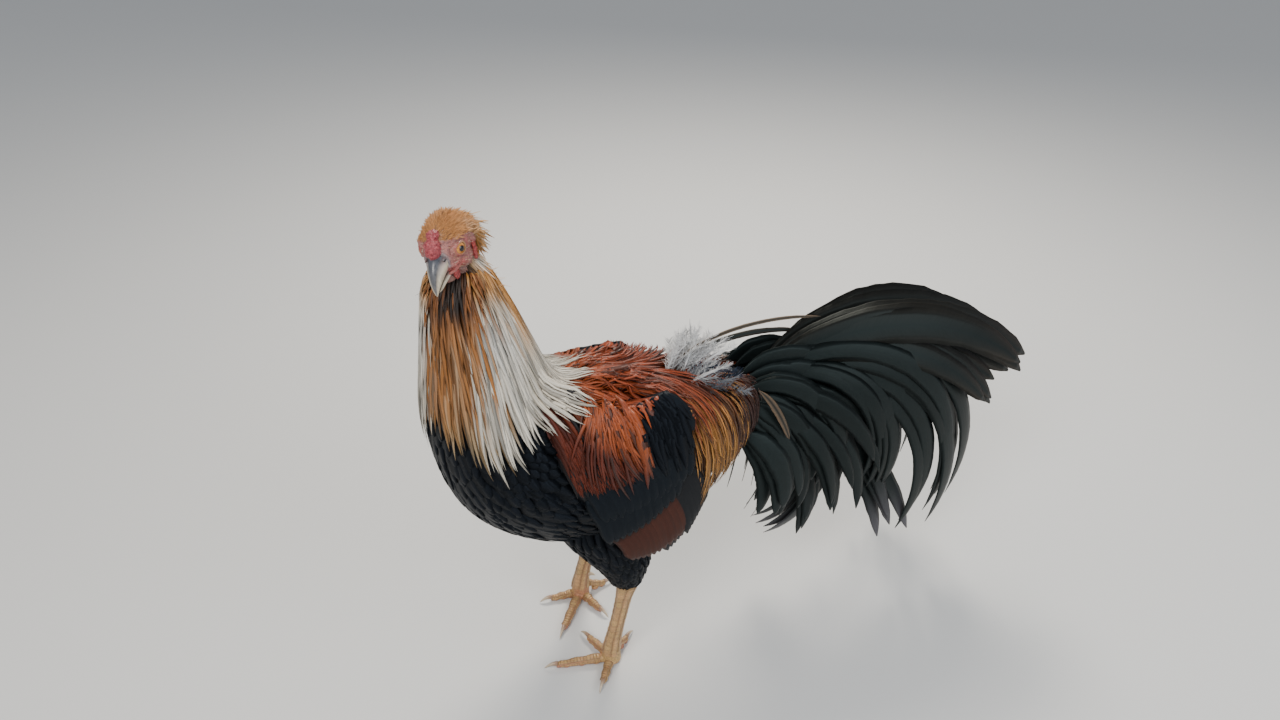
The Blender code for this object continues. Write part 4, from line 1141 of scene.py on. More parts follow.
under = tree_of(skin_piece, *wing_pieces, saddle_piece, mantle_piece)
hackles = Plumage(51)
for layer in range(HACKLE_ROWS):
    share = layer / (HACKLE_ROWS - 1)
    place = 8.9 + 3.25 * share
    count = int(math.tau * half_width(place) / (0.0042 - 0.0018 * share))
    around = wrap(np.arange(count) * 360 / count + GOLDEN_TURN * layer + hackles.draw.normal(0, 2.5, count))
    short = 4.3 * share ** 1.5 + hackles.draw.uniform(-0.22, 0.25, count)
    tip = hem(around) + short + 0.35 * np.sin(np.radians(around) * 3) * (1 - share)
    roots = np.stack((np.full(count, place) + hackles.draw.uniform(-0.1, 0.1, count), around), axis=1)
    tips = np.stack((tip, around + hackles.draw.normal(0, 5.0, count)), axis=1)
    hang = 0.0006 + 0.0009 * share + hackles.draw.uniform(0, 0.0012, (count, 1)) + 0.0014 * LONG_PARTS
    lifts = np.minimum(-COAT + 0.08 * LONG_PARTS, 0) + hang - 0.007 * share * (1 - LONG_PARTS) ** 6
    spot, turned = courses(roots, tips, LONG_PARTS)
    centres, outwards = lie_on_body(spot, turned, lifts)
    centres = drape(centres, outwards, under, 0.0010 + 0.0006 * share)
    seen_from = around + hackles.draw.normal(0, 10, count)
    colour = cape_colour(spot, seen_from[:, None], LONG_PARTS)
    pale = 0.35 * hackles.draw.random((count, 1)) ** 3 * smooth(spot, 10.6, 9.4)
    colour = mix(colour, CREAM, pale)
    from_front = np.abs(wrap(around - FRONT_OF_NECK))[:, None]
    # Painted shade: some strands, more of them towards the front, are darkened by half to stand for the shade
    # between strands; every strand's tone also differs at random.
    shaded_strand = hackles.draw.random((count, 1)) < 0.16 + 0.14 * smooth(from_front, 50, 20)
    colour = colour * hackles.draw.uniform(0.68, 1.12, (count, 1, 1)) * (1 - 0.5 * shaded_strand[..., None])
    width = (0.0066 - 0.0040 * share) * LONG_WIDTHS * hackles.draw.uniform(0.75, 1.2, (count, 1))
    hackles.add(centres, outwards, width, colour * 0.8, colour, home_of(roots), jag=0.12, cup=0.14, roll=10)
hackles.make("hackles", hackle_finish)

# %% [markdown]
# ## Tail
# The long sickles leave the rump almost level, close into one broad band and droop at their ends,
# and shorter coverts fall between them. Every feather is a broad vane swept along an arc that bends
# as it goes, leaning out a little at its lower edge, so that the tail is a loose tent that is open
# underneath. Each arc of the table is laid several times with small differences, as the real
# feathers lie on each other.

# %% Tail
TAIL_ROOT = np.array((-0.182, 0.0, 0.272))
TAIL_FEATHERS = (
    # length, rise, droop, ease of the bend, splay, width, height of the root
    (0.235, 24, -22, 0.90, 2.5, 0.040, 0.014),
    (0.225, 12, -34, 0.90, 5.0, 0.040, 0.007),
    (0.200, -2, -46, 0.90, 8.0, 0.038, -0.002),
    (0.165, -20, -60, 0.90, 11.0, 0.034, -0.010),
    (0.358, 46, -38, 0.52, 3.0, 0.044, 0.018),
    (0.346, 36, -50, 0.85, 6.5, 0.040, 0.016),
    (0.408, 34, -111, 0.96, 9.0, 0.028, 0.012),
    (0.390, 22, -114, 0.98, 12.0, 0.026, 0.008),
    (0.290, -13, -71, 0.60, 14.0, 0.024, 0.000),
    (0.264, 26, -113, 0.90, 16.0, 0.024, 0.010),
    (0.226, -38, -156, 1.40, 22.0, 0.023, -0.004),
    (0.180, 0, -105, 0.60, 21.0, 0.026, 0.006),
    (0.150, -25, -110, 0.90, 27.0, 0.026, -0.002),
    (0.130, -5, -100, 0.80, 33.0, 0.026, 0.004),
    (0.105, -30, -100, 0.80, 40.0, 0.024, 0.000),
)
BAND = (4, 5)                # the rows of the table that close into the broad band
# Ranks whose tips carry a painted grey sheen
SHEEN_TIPPED = (8, 10)
TAIL_ROLL = math.radians(24)
TAIL_ROWS = 30
TAIL_PARTS = np.linspace(0, 1, TAIL_ROWS)
TAIL_BLACK = np.array((0.0050, 0.0070, 0.0072))
# The grey of a painted sheen near those tips
GREY_SHEEN = (0.075, 0.070, 0.078)
BROWN_RIM = (0.030, 0.020, 0.014)
# How wide a vane is along its length: the stations first and then the shares of its width
LONG_VANE = (0, 0.04, 0.16, 0.38, 0.6, 0.82, 0.94, 1), (0.12, 0.25, 0.7, 1, 1, 0.82, 0.5, 0.06)
SHORT_VANE = (0, 0.05, 0.2, 0.5, 0.78, 0.92, 1), (0.12, 0.35, 0.85, 1, 0.8, 0.5, 0.06)


def swept(side, root, length, rise, droop, ease, splay, roll=TAIL_ROLL):
    """The centre line and outward sides of one feather that leaves its root and bends down."""
    splay = math.radians(splay)
    turn = np.radians(rise + (droop - rise) * TAIL_PARTS ** ease)
    level = np.cos(turn)
    way = np.stack((-level * math.cos(splay), side * level * math.sin(splay), np.sin(turn)), axis=1)
    stride = length / (TAIL_ROWS - 1)
    run = np.cumsum((way[:-1] + way[1:]) * 0.5 * stride, axis=0)
    centres = root + np.concatenate((np.zeros((1, 3)), run))
    aside = np.array((math.sin(splay), side * math.cos(splay), 0.0))
    above = np.cross(way, aside)
    return centres, unit(aside * math.cos(roll) - above * math.sin(roll))


def quill_root(side, splay, height):
    return TAIL_ROOT + (0, side * (0.0015 + 0.011 * math.sin(math.radians(splay) * 2.2)), height)


print("arcs in the tail's table", len(TAIL_FEATHERS))

# %% Large feathers of the tail
tail = Plumage(61)


def lay_tail_feather(lines, width, shape, middle, edge, home):
    centres, outwards = lines
    tail.add(
        centres[None], outwards[None], width * np.interp(TAIL_PARTS, *shape), middle, edge, np.array((home,)),
        BROAD, thick=0.0004, cup=0.05, jag=0.08, roll=4,
    )


for rank, (length, rise, droop, ease, splay, width, height) in enumerate(TAIL_FEATHERS):
    copies = 5 if rank in BAND else 2 if rank < 4 else 4
    for side in SIDES.values():
        for copy in range(copies):
            drift = tail.draw.normal(0, 1, 5) * min(copy, 1)
            lower = copy * (2.6 if rank in BAND else 1.0)
            lines = swept(
                side, quill_root(side, splay + 0.9 * copy, height + 0.0012 * drift[4]),
                length * (1 - 0.03 * abs(drift[0]) - 0.035 * copy), rise + 2 * drift[1] - lower,
                droop + 4 * drift[2] - 0.5 * lower, ease, splay + 0.9 * copy + 0.4 * drift[3],
            )
            tone = TAIL_BLACK * tail.draw.uniform(0.8, 1.3)
            # Near the tip the band's brown rim grows, and on two ranks a painted grey sheen
            tip_rim_and_sheen = smooth(TAIL_PARTS, 0.72, 1.0)
            if rank in SHEEN_TIPPED:
                tone = mix(tone, GREY_SHEEN, tip_rim_and_sheen * tail.draw.uniform(0.4, 1.0))
            rim = mix(tone, BROWN_RIM, 0.25 + 0.6 * tip_rim_and_sheen) if rank in BAND else tone * 1.25
            home = (0.1 + 0.055 * rank + 0.010 * copy, 0.3 + 0.4 * (side > 0) + 0.01 * copy)
            shape = LONG_VANE if length > 0.18 else SHORT_VANE
            lay_tail_feather(lines, width * (1 - 0.06 * copy), shape, tone, rim, home)
print("large tail feathers", len(tail.parts))

# %% [markdown]
# ## Tail coverts
# What hides the quills is a thick fan of black coverts that starts well up on the rump, above as
# well as beside the tail. They are planted in tiers on the rump's own table, the front tier last so
# that it lies over the others, and each bends down sooner the further to the side it grows.

# %% Tail coverts
COVERT_TIERS = (
    # section of the rump, length on top and at the side, feathers on each side
    (0.05, 0.235, 0.150, 13),
    (0.45, 0.205, 0.135, 13),
    (0.90, 0.170, 0.120, 13),
    (1.35, 0.135, 0.105, 12),
)
for tier, (place, top_length, side_length, count) in enumerate(COVERT_TIERS):
    for side in SIDES.values():
        for number in range(count):
            share = (number + 0.5) / count
            drift = tail.draw.normal(0, 1, 6)
            around = side * (6 + 104 * share + 3 * drift[0])
            root = body_points(np.array(place + 0.06 * drift[1]), np.array(around), -0.0035 + 0.0012 * tier)
            length = (top_length + (side_length - top_length) * share) * (1 + 0.10 * drift[2])
            lines = swept(
                side, root, length, 34 - 66 * share + 5 * drift[3], -74 - 34 * share + 9 * drift[4],
                0.95 - 0.25 * share, 3 + 27 * share + 2 * drift[5], TAIL_ROLL * (0.4 + share),
            )
            tone = TAIL_BLACK * tail.draw.uniform(0.75, 1.5)
            home = (0.05 + 0.9 * share, 0.30 + 0.02 * tier + 0.4 * (side > 0))
            lay_tail_feather(lines, 0.022 + 0.003 * drift[1], SHORT_VANE, tone, tone * 1.3, home)
print("tail feathers and coverts", len(tail.parts))

# %% Lone feathers over the fluff
TAN = (0.17, 0.115, 0.075)
LONE_FEATHERS = (
    # root, length, rise, droop, splay, width, colour of the rim: two thin ones, and a covert on the left
    ((-0.084, 0.002, 0.322), 0.166, 50, -14, 1, 0.0040, TAN),
    ((-0.092, -0.004, 0.314), 0.150, 46, -20, 3, 0.0060, BROWN_RIM),
    ((-0.152, 0.048, 0.302), 0.070, -34, -72, 16, 0.0085, TAN),
)
for root, length, rise, droop, splay, width, rim in LONE_FEATHERS:
    lines = swept(-1 if root[1] < 0 else 1, root, length, rise, droop, 0.45, splay)
    lay_tail_feather(lines, width, LONG_VANE, TAIL_BLACK, rim, (0.5 + root[1], 0.22))
tail.make("tail_feathers", tail_finish)

# %% [markdown]
# ## Down at the root of the tail
# Between the saddle and the tail white and grey down stands out of the coat. A down feather has a
# soft shaft and loose barbs that never hook together, so every barb is its own fine strand here.

# %% Down at the root of the tail
DOWN_WHITE = (0.72, 0.72, 0.72)
DOWN_GREY = (0.20, 0.21, 0.23)
DOWN_TUFTS = (
    # middle of the roots, way that the tuft points, length, spread, feathers, share of grey
    ((-0.088, 0.002, 0.314), (-0.35, 0.05, 1.0), 0.050, 0.22, 10, 0.10),
    ((-0.092, 0.000, 0.314), (-1.0, 0.0, 0.75), 0.050, 0.22, 11, 0.20),
    ((-0.092, 0.016, 0.312), (-1.0, 0.25, 0.35), 0.040, 0.45, 9, 0.90),
    ((-0.108, 0.026, 0.304), (-1.0, 0.40, 0.15), 0.038, 0.40, 8, 1.30),
    ((-0.100, -0.020, 0.308), (-0.8, -0.5, 0.5), 0.042, 0.45, 12, 0.50),
)
BARBS = 84                   # on each down feather, in pairs
BARB_PARTS = np.linspace(0, 1, 5)[:, None]
BARB_WIDTHS = 0.00060 * np.array((1, 0.9, 0.8, 0.6, 0.2))
STALK_WIDTHS = (0.0015, 0.0030, 0.0030, 0.0020, 0.0006)
down = Plumage(62)
for middle, way, length, spread, count, grey in DOWN_TUFTS:
    for _ in range(count):
        root = np.array(middle) + down.draw.normal(0, 1, 3) * (0.006, 0.005, 0.002)
        ahead = unit(unit(np.array(way)) + down.draw.normal(0, spread, 3) * 0.6)
        long = length * down.draw.uniform(0.6, 1.1)
        bend = down.draw.normal(0, 0.25, 3) * (1, 1, 0.4) - (0, 0, 0.25)
        along = np.repeat(np.linspace(0.12, 0.97, BARBS // 2), 2)
        shaft = root + long * (ahead * along[:, None] + bend * along[:, None] ** 2 * 0.5)
        aside = unit(np.cross(ahead, down.draw.normal(0, 1, 3)))
        hand = np.tile((1.0, -1.0), BARBS // 2)[:, None]
        out = unit(aside * hand + ahead * 0.9 + down.draw.normal(0, 0.35, (BARBS, 3)))
        reach = 0.011 * (1 - 0.5 * along) * down.draw.uniform(0.6, 1.2, BARBS)
        curl = down.draw.normal(0, 0.35, (BARBS, 3)) + ahead * 0.4
        bent = out[:, None] * BARB_PARTS + curl[:, None] * BARB_PARTS ** 2 * 0.5
        stalk = root + long * (ahead * BARB_PARTS + bend * BARB_PARTS ** 2 * 0.5)
        centres = np.concatenate((shaft[:, None] + bent * reach[:, None, None], stalk[None]))
        shade = mix(DOWN_WHITE, DOWN_GREY, grey * down.draw.uniform(0.3, 1.5))
        widths = np.tile(BARB_WIDTHS, (BARBS + 1, 1))
        widths[-1] = STALK_WIDTHS
        facing = unit(np.cross(np.gradient(centres, axis=1), down.draw.normal(0, 1, (len(centres), 1, 3))))
        homes = np.tile(((0.5 + root[1] * 4, 0.20 + root[0]),), (len(centres), 1))
        down.add(centres, facing, widths, shade, shade, homes, thick=0.00015, jag=0.0, roll=0)
down.make("tail_down", down_finish)

# %% [markdown]
# ## The head's own frame
# The head is turned to the bird's left and tipped towards the viewer, so it is shaped upright in a
# frame of its own, X along the beak and the middle between the eyes at zero, and then carried over.
# Its skull is a row of ovals like the body.

# %% The head's frame
HEAD = (
    Matrix.Translation((0.1143, 0.0, 0.4876))
    @ Matrix.Rotation(math.radians(53), 4, "Z")
    @ Matrix.Rotation(math.radians(8), 4, "Y")
    @ Matrix.Rotation(math.radians(9.7), 4, "X")
)
HEAD_TURN = np.array(HEAD.to_3x3())
HEAD_PLACE = np.array(HEAD.translation)
EYE_AT = np.array((0.0100, 0.0125, 0.0))
EYE_RADIUS = 0.0065
EYE_OPENS = np.array((0.30, 1.0, 0.05))     # the way that the lids' opening faces
SKULL = np.array((
    # forward, height of the centre, up, down, half width
    (-0.0290, -0.006, 0.0060, 0.0080, 0.0080),
    (-0.0245, -0.005, 0.0120, 0.0140, 0.0135),
    (-0.0150, -0.002, 0.0172, 0.0180, 0.0172),
    (-0.0030, 0.000, 0.0188, 0.0190, 0.0180),
    (0.0080, 0.000, 0.0176, 0.0185, 0.0172),
    (0.0160, -0.001, 0.0140, 0.0165, 0.0142),
    (0.0230, -0.004, 0.0085, 0.0110, 0.0098),
))


def from_head(points):
    return points @ HEAD_TURN.T + HEAD_PLACE


def to_head(points):
    return (points - HEAD_PLACE) @ HEAD_TURN


def oval_rings(table, rows, count, pinch=0.0):
    """Rings across the head's X from a table of ovals; pinch narrows their upper halves to a ridge."""
    forward, height, up, down, half = between(table, np.linspace(0, len(table) - 1, rows)).T[:, :, None]
    turn = ring_angles(count)
    rise = np.cos(turn)
    wide = half * np.sin(turn) * (1 - pinch * np.maximum(rise, 0) ** 1.5)
    return np.stack(np.broadcast_arrays(forward, wide, height + rise * np.where(rise > 0, up, down)), axis=-1)


def ball(centre, radii, rows=14, count=20):
    polar = np.linspace(0.08, math.pi - 0.08, rows)[:, None]
    turn = ring_angles(count)
    rings = np.stack(np.broadcast_arrays(
        np.sin(polar) * np.cos(turn), np.sin(polar) * np.sin(turn), np.cos(polar),
    ), axis=-1)
    return loft(np.array(centre) + rings * np.array(radii))


def tube(spots, count=14):
    """A fold of flesh, from the spots that it runs through, each with the fold's radius there."""
    path, radii = np.array(spots)[:, :3], np.array(spots)[:, 3]
    ahead = unit(np.gradient(path, axis=0))
    across = unit(np.cross(ahead, (0.12, 0.21, 1.0)))
    up = np.cross(across, ahead)
    turn = ring_angles(count)[:, None]
    circle = across[:, None] * np.cos(turn) + up[:, None] * np.sin(turn)
    return loft(path[:, None] + circle * radii[:, None, None])


def on_head(piece, side=1):
    """A piece carried from the head's frame to the bird's, mirrored for the right side."""
    return from_head(piece[0] * (1, side, 1)), piece[1]


print("tip of the upper beak", np.round(from_head(np.array((0.040, 0, -0.025))), 3))

# %% [markdown]
# ## The face
# A cock's face is bare skin: a stiff brow over the eye, a ring of lid, slack cheeks and a fold that
# runs back from the corner of the mouth. The big forms are melted together with half-millimetre
# voxels. The folds are then sculpted by moving each point along its normal by an amount that depends
# on where it lies: rings round the eye, creases over the cheek and a fine crumple over everything.

# %% Melt the face
CHEEK_FORMS = {
    "brow": tube((
        (0.0175, 0.0122, 0.0052, 0.0010), (0.0130, 0.0146, 0.0074, 0.0022),
        (0.0070, 0.0156, 0.0076, 0.0024), (0.0010, 0.0156, 0.0058, 0.0010),
    )),
    "cheek": ball((0.0015, 0.0128, -0.0125), (0.0110, 0.0052, 0.0066)),
    "ear": ball((-0.0105, 0.0150, -0.0035), (0.0050, 0.0045, 0.0070)),
    "upper_lip": tube((
        (0.0240, 0.0078, -0.0090, 0.0014), (0.0185, 0.0108, -0.0098, 0.0020),
        (0.0130, 0.0128, -0.0104, 0.0019), (0.0080, 0.0138, -0.0100, 0.0010),
    )),
    "lower_lip": tube((
        (0.0230, 0.0056, -0.0166, 0.0012), (0.0185, 0.0090, -0.0152, 0.0020),
        (0.0135, 0.0118, -0.0136, 0.0020), (0.0090, 0.0130, -0.0122, 0.0012),
    )),
}
turns = np.radians(angles)
throat_ring = np.stack((-np.cos(turns), np.sin(turns), 0 * turns), axis=1)
throat = np.stack((
    body_points(11.0, angles, -0.006),
    body_points(11.6, angles, -0.0055),
    from_head(np.array((-0.006, 0, -0.010))) + 0.0152 * throat_ring,
))
face_forms = [
    form("face", on_head(loft(oval_rings(SKULL, 26, 40)))),
    form("throat", loft(throat)),
    form("chin", on_head(ball((0.0125, 0, -0.0215), (0.0115, 0.0082, 0.0062)))),
]
for side in SIDES.values():
    face_forms.extend(form(name, on_head(piece, side)) for name, piece in CHEEK_FORMS.items())
face = melt("face", face_forms, 0.00052, 3)
face_points = points_of(face.data)
print("face points", len(face_points))


# %% Sculpt the face
def crumple(points, scale, octaves=3):
    """Smooth noise from -1 to 1 at each point."""
    return np.array([noise.fractal(Vector(p * scale), 0.8, 2.0, octaves) for p in points])


def eye_distance(spot):
    """How far a spot of the face lies from the eye's middle, where 1 is the edge of the lids."""
    off = np.stack((spot[:, 0], np.abs(spot[:, 1]), spot[:, 2]), axis=1) - EYE_AT
    opens = unit(EYE_OPENS)
    level = unit(np.cross((0, 0, 1), opens))
    return np.hypot(off @ level / 0.0058, off @ np.cross(opens, level) / 0.0048)


spot = to_head(face_points)
normals = np.zeros(len(spot) * 3)
face.data.vertices.foreach_get("normal", normals)
normals = normals.reshape(-1, 3)
far = eye_distance(spot)
flank = smooth(np.abs(spot[:, 1]), 0.0070, 0.0100)
bare = smooth(spot[:, 0], -0.020, -0.010)
rough = crumple(spot, 330.0)
rings = np.sin(far * 7.5 + rough * 2.2) * smooth(far, 1.25, 1.6) * smooth(far, 3.6, 2.2)
lid = 0.0009 * np.exp(-((far - 1.08) / 0.16) ** 2) - 0.0007 * np.exp(-((far - 1.50) / 0.18) ** 2)
hollow = -0.0040 * smooth(far, 0.90, 0.76)
creases = crumple(spot * (1.0, 1.0, 0.35), 560.0, 2)
push = flank * (lid + hollow + 0.00030 * rings)
push += bare * smooth(far, 1.0, 1.5) * (0.00035 * rough + 0.00028 * np.abs(creases))
sculpted = face_points + normals * push[:, None]
sculpted += np.sign(spot[:, 1:2]) * HEAD_TURN[:, 1] * (flank * hollow * 0.5)[:, None]
print("deepest and highest push", round(float(push.min()), 4), round(float(push.max()), 4))

# %% [markdown]
# ## Colours of the face
# The face is dusky pink, redder behind the eye and on the lips, yellowish on the rims of the lids and
# grey-pink under the chin, and it turns to the cape's gold where the feathers start. Painted shade
# darkens the socket inside the lids, the skin under the crown's feathers and the skin under the cape.
# The colour is worked out for every point of the mesh, and the finish adds the grain of the skin:
# thousands of small pimples, from a cell texture, and fine creases.

# %% Colours of the face
FACE_PINK = (0.40, 0.150, 0.125)
FACE_RED = (0.42, 0.070, 0.060)
DUSK = (0.200, 0.075, 0.070)
LID_YELLOW = (0.50, 0.26, 0.10)
CHIN = (0.30, 0.150, 0.120)
CERE = (0.20, 0.180, 0.185)
CROWN_TAN = np.array((0.56, 0.25, 0.085))
SOCKET_SHADE = (0.02, 0.012, 0.012)
UNDER_CAPE_SHADE = (0.045, 0.028, 0.022)
# Where the crown's feathers begin on the side of the head: forward, and height
FEATHER_LINE_AT = (-0.020, -0.0155, -0.010, -0.004, 0.004, 0.016, 0.021)
FEATHER_LINE = (-0.03, -0.018, 0.0, 0.0062, 0.0078, 0.0092, 0.016)


def feather_line(x):
    """The height in the head's frame above which its side is feathered."""
    return np.interp(x, FEATHER_LINE_AT, FEATHER_LINE)


tint = mix(FACE_PINK, DUSK, 0.75 * smooth(rough, -0.1, 0.6))
tint = mix(tint, FACE_RED, flank * smooth(spot[:, 0], 0.006, -0.003) * smooth(far, 2.8, 1.2))
lips = np.exp(-((spot[:, 2] + 0.0125) / 0.0035) ** 2) * smooth(spot[:, 0], 0.004, 0.012)
tint = mix(tint, FACE_RED, 0.7 * lips)
tint = mix(tint, LID_YELLOW, flank * np.exp(-((far - 0.98) / 0.12) ** 2))
tint = mix(tint, CHIN, smooth(spot[:, 2], -0.016, -0.021) * smooth(spot[:, 0], -0.004, 0.004))
tint = mix(tint, CERE, smooth(spot[:, 0], 0.0205, 0.0235) * smooth(spot[:, 2], -0.011, -0.007))
# Painted shade in the socket, inside the lids' opening behind the eye
tint = mix(tint, SOCKET_SHADE, flank * smooth(far, 0.86, 0.78))
grown = smooth(spot[:, 2] - feather_line(spot[:, 0]), -0.0005, 0.0015)
# Under the crown's feathers the skin takes their tan, darkened as painted shade.
tint = mix(tint, CROWN_TAN * 0.55, grown)
# Painted shade on the skin that runs down under the cape
tint = mix(tint, UNDER_CAPE_SHADE, smooth(face_points[:, 2], 0.4640, 0.4560))
print("share of the head that is feathered", round(float(grown.mean()), 2))

# %% [markdown]
# ## Flesh
# Face, lids, comb, wattles, shanks and scutes share one kind of finish and differ in the size and the
# depth of their pimples.

# %% Flesh


def skin_mesh(points, source, colours):
    """The faces of a melted form over moved points, with a colour for each."""
    quads = np.array([tuple(f.vertices) for f in source.polygons])
    mesh = quad_mesh(source.name, points, quads)
    paint(mesh, colours)
    return mesh


def flesh_finish(name, pimples, depth, roughness, **fixed):
    """Skin whose colour comes from its points, with pimples of a given number to the metre."""
    finish = Finish(name, **fixed)
    place = finish.node("TexCoord", {}, {}, 3)
    cells = finish.node(
        "TexVoronoi", {"feature": "SMOOTH_F1"}, {"Vector": place, "Scale": pimples, "Smoothness": 0.6},
    )
    fine = finish.noise(place, pimples * 1.7, 3.0, 0.6)
    shade = fine.ramp(0.25, 0.75) * 0.30 + cells.ramp(0.75, 0.05) * 0.35 + 0.55
    finish.set("Base Color", finish.scaled(finish.attribute("tint", "Color"), shade))
    finish.set("Roughness", fine.ramp(0.2, 0.8) * 0.2 + roughness)
    finish.bump(cells.ramp(0.9, 0.0) + fine * 0.35, depth, 0.9)
    return finish


face_finish = flesh_finish(
    "face_skin", 850, 0.0005, 0.38,
    Subsurface_Weight=0.12, Subsurface_Radius=(0.004, 0.0015, 0.001), Coat_Weight=0.08,
)
head_skin = show("head_skin", skin_mesh(sculpted, face.data, tint), face_finish, ("head",))
bpy.data.objects.remove(face)
head_tree = tree_of(head_skin)
print("faces of the head's skin", len(head_skin.data.polygons))

# %% [markdown]
# ## Eyes
# A cock's eye is a glossy ball with an amber iris that darkens to its rim and round the pupil. Rings
# of points round the eye's own axis carry those colours, the middle bulges as the cornea does, and
# a clear coat gives the wet highlight.

# %% Eyes
IRIS = (0.55, 0.21, 0.035)
ROUND_EYE = 36               # points in each ring
EYE_RINGS = np.radians((2, 8, 14, 19.5, 20.5, 28, 37, 46, 49, 53, 59, 67, 80, 100, 130, 160, 178))
EYE_COLOURS = np.array(
    [(0.003, 0.003, 0.004)] * 4 + [(0.16, 0.045, 0.008), IRIS, (0.62, 0.27, 0.05), (0.40, 0.13, 0.02)]
    + [(0.03, 0.012, 0.008)] * 9
)
eye_finish = Finish(
    "eye_amber", roughness=0.12, Coat_Weight=0.6, Coat_Roughness=0.02, Specular_IOR_Level=0.25,
)
streak = eye_finish.noise(eye_finish.node("TexCoord", {}, {}, 3), 1500, 2.0)
streaked = eye_finish.scaled(eye_finish.attribute("tint", "Color"), streak.ramp(0.2, 0.8) * 0.5 + 0.75)
eye_finish.set("Base Color", streaked)
for name, side in SIDES.items():
    axis = unit(np.array((0.40, side, 0.03)))
    across = unit(np.cross(axis, (0, 0, 1)))
    turn = ring_angles(ROUND_EYE)[:, None]
    circle = across * np.cos(turn) + np.cross(across, axis) * np.sin(turn)
    bulge = EYE_RADIUS * (1 + 0.05 * np.exp(-(EYE_RINGS / 0.55) ** 4))
    rings = axis * np.cos(EYE_RINGS)[:, None, None] + circle * np.sin(EYE_RINGS)[:, None, None]
    centre = EYE_AT * (1, side, 1)
    points, faces = loft(from_head(centre + rings * bulge[:, None, None]))
    eye = mesh_of(f"eyeball_{name}", (points + BIRD_AT, faces))
    colours = np.repeat(EYE_COLOURS, ROUND_EYE, axis=0)
    streaks = 1.0 + 0.25 * np.sin(np.arange(len(colours)) * 2.4)[:, None] * (colours[:, :1] > 0.1)
    paint(eye, colours * streaks)
    show(f"eye_{name}_ball", eye, eye_finish, (f"eye_{name}",))
    print("middle of the", name, "eye", np.round(from_head(centre), 4))

# %% [markdown]
# ## Lids
# A lid is thin skin that slides over the ball, so it is made as a shell on the ball itself: a ring
# whose section runs in from the cheek, rolls over at the edge of the opening and returns
# underneath. Its folds run round the eye.

# %% Lids
lid_finish = flesh_finish("lid_rim", 1400, 0.0002, 0.34, Coat_Weight=0.15)
LID_SECTION = np.array((
    # degrees beyond the edge of the opening, height over the ball in tenths of a millimetre
    (60, 2), (48, 6), (38, 9), (30, 7), (22, 10), (15, 8), (9, 11), (4, 10), (0, 7),
    (-1, 4), (2, 1), (20, 1), (60, 0),
))
ROUND_LID = 72
LID_OPENING = {"wide": 47, "up": 34, "down": 39}     # degrees from the middle of the opening to its edge
for name, side in SIDES.items():
    opens = unit(EYE_OPENS * (1, side, 1))
    level = unit(np.cross((0, 0, 1), opens))
    turn = ring_angles(ROUND_LID)[:, None]
    tall = np.where(np.sin(turn) > 0, LID_OPENING["up"], LID_OPENING["down"])
    edge = 1 / np.sqrt((np.cos(turn) / LID_OPENING["wide"]) ** 2 + (np.sin(turn) / tall) ** 2)
    off = np.radians(edge + LID_SECTION[:, 0])
    height = EYE_RADIUS + 0.0001 * LID_SECTION[:, 1] * (1 + 0.12 * np.sin(turn * 13))
    around = level * np.cos(turn)[..., None] + np.cross(opens, level) * np.sin(turn)[..., None]
    way = opens * np.cos(off)[..., None] + around * np.sin(off)[..., None]
    rings = EYE_AT * (1, side, 1) + height[..., None] * way
    count = len(LID_SECTION)
    here = np.arange(ROUND_LID)[:, None] * count
    after = (np.arange(ROUND_LID)[:, None] + 1) % ROUND_LID * count
    k = np.arange(count)
    following = (k + 1) % count
    quads = np.stack((here + k, here + following, after + following, after + k), axis=-1)
    lid_mesh = quad_mesh("lid", from_head(rings.reshape(-1, 3)), quads.reshape(-1, 4))
    rim = np.exp(-(LID_SECTION[:, 0] / 6) ** 2)
    rear = smooth(np.cos(turn) * side, 0.4, -0.7)
    lid_colour = mix(mix(FACE_PINK, FACE_RED, 0.7 * rear), LID_YELLOW, rim * (1 - 0.6 * rear))
    paint(lid_mesh, lid_colour * 0.9)
    show(f"lid_{name}", lid_mesh, lid_finish)
print("points on each lid", ROUND_LID * len(LID_SECTION))

# %% [markdown]
# ## Comb, lobes and wattles
# The comb is a low cushion of flesh over the root of the beak, covered with grains like a raspberry,
# with a smaller fold behind it. Small balls strewn over plain ovals and melted with them give the
# grains. The earlobes and the two tiny wattles are made the same way from smaller beads.

# %% Comb, lobes and wattles
def beaded(name, cores, beads, size, voxel, seed):
    """Ovals with small balls strewn over them, melted into one grainy form in the head's frame."""
    draw = np.random.default_rng(seed)
    forms = []
    for centre, radii in cores:
        forms.append(form(name, on_head(ball(centre, radii))))
        way = unit(draw.normal(0, 1, (beads, 3)))
        for spot in np.array(centre) + way * np.array(radii) * 0.97:
            grain = size * draw.uniform(0.7, 1.15)
            forms.append(form(name, on_head(ball(spot, (grain, grain, grain * 0.9), 7, 8))))
    return melt(name, forms, voxel, 2)


def show_flesh(name, made, colour, deep, finish, replaces):
    points = points_of(made.data)
    grain = smooth(crumple(points, 700.0, 2), -0.4, 0.5)
    show(name, skin_mesh(points, made.data, mix(deep, colour, grain)), finish, replaces)
    print(name, "points", len(points))
    bpy.data.objects.remove(made)


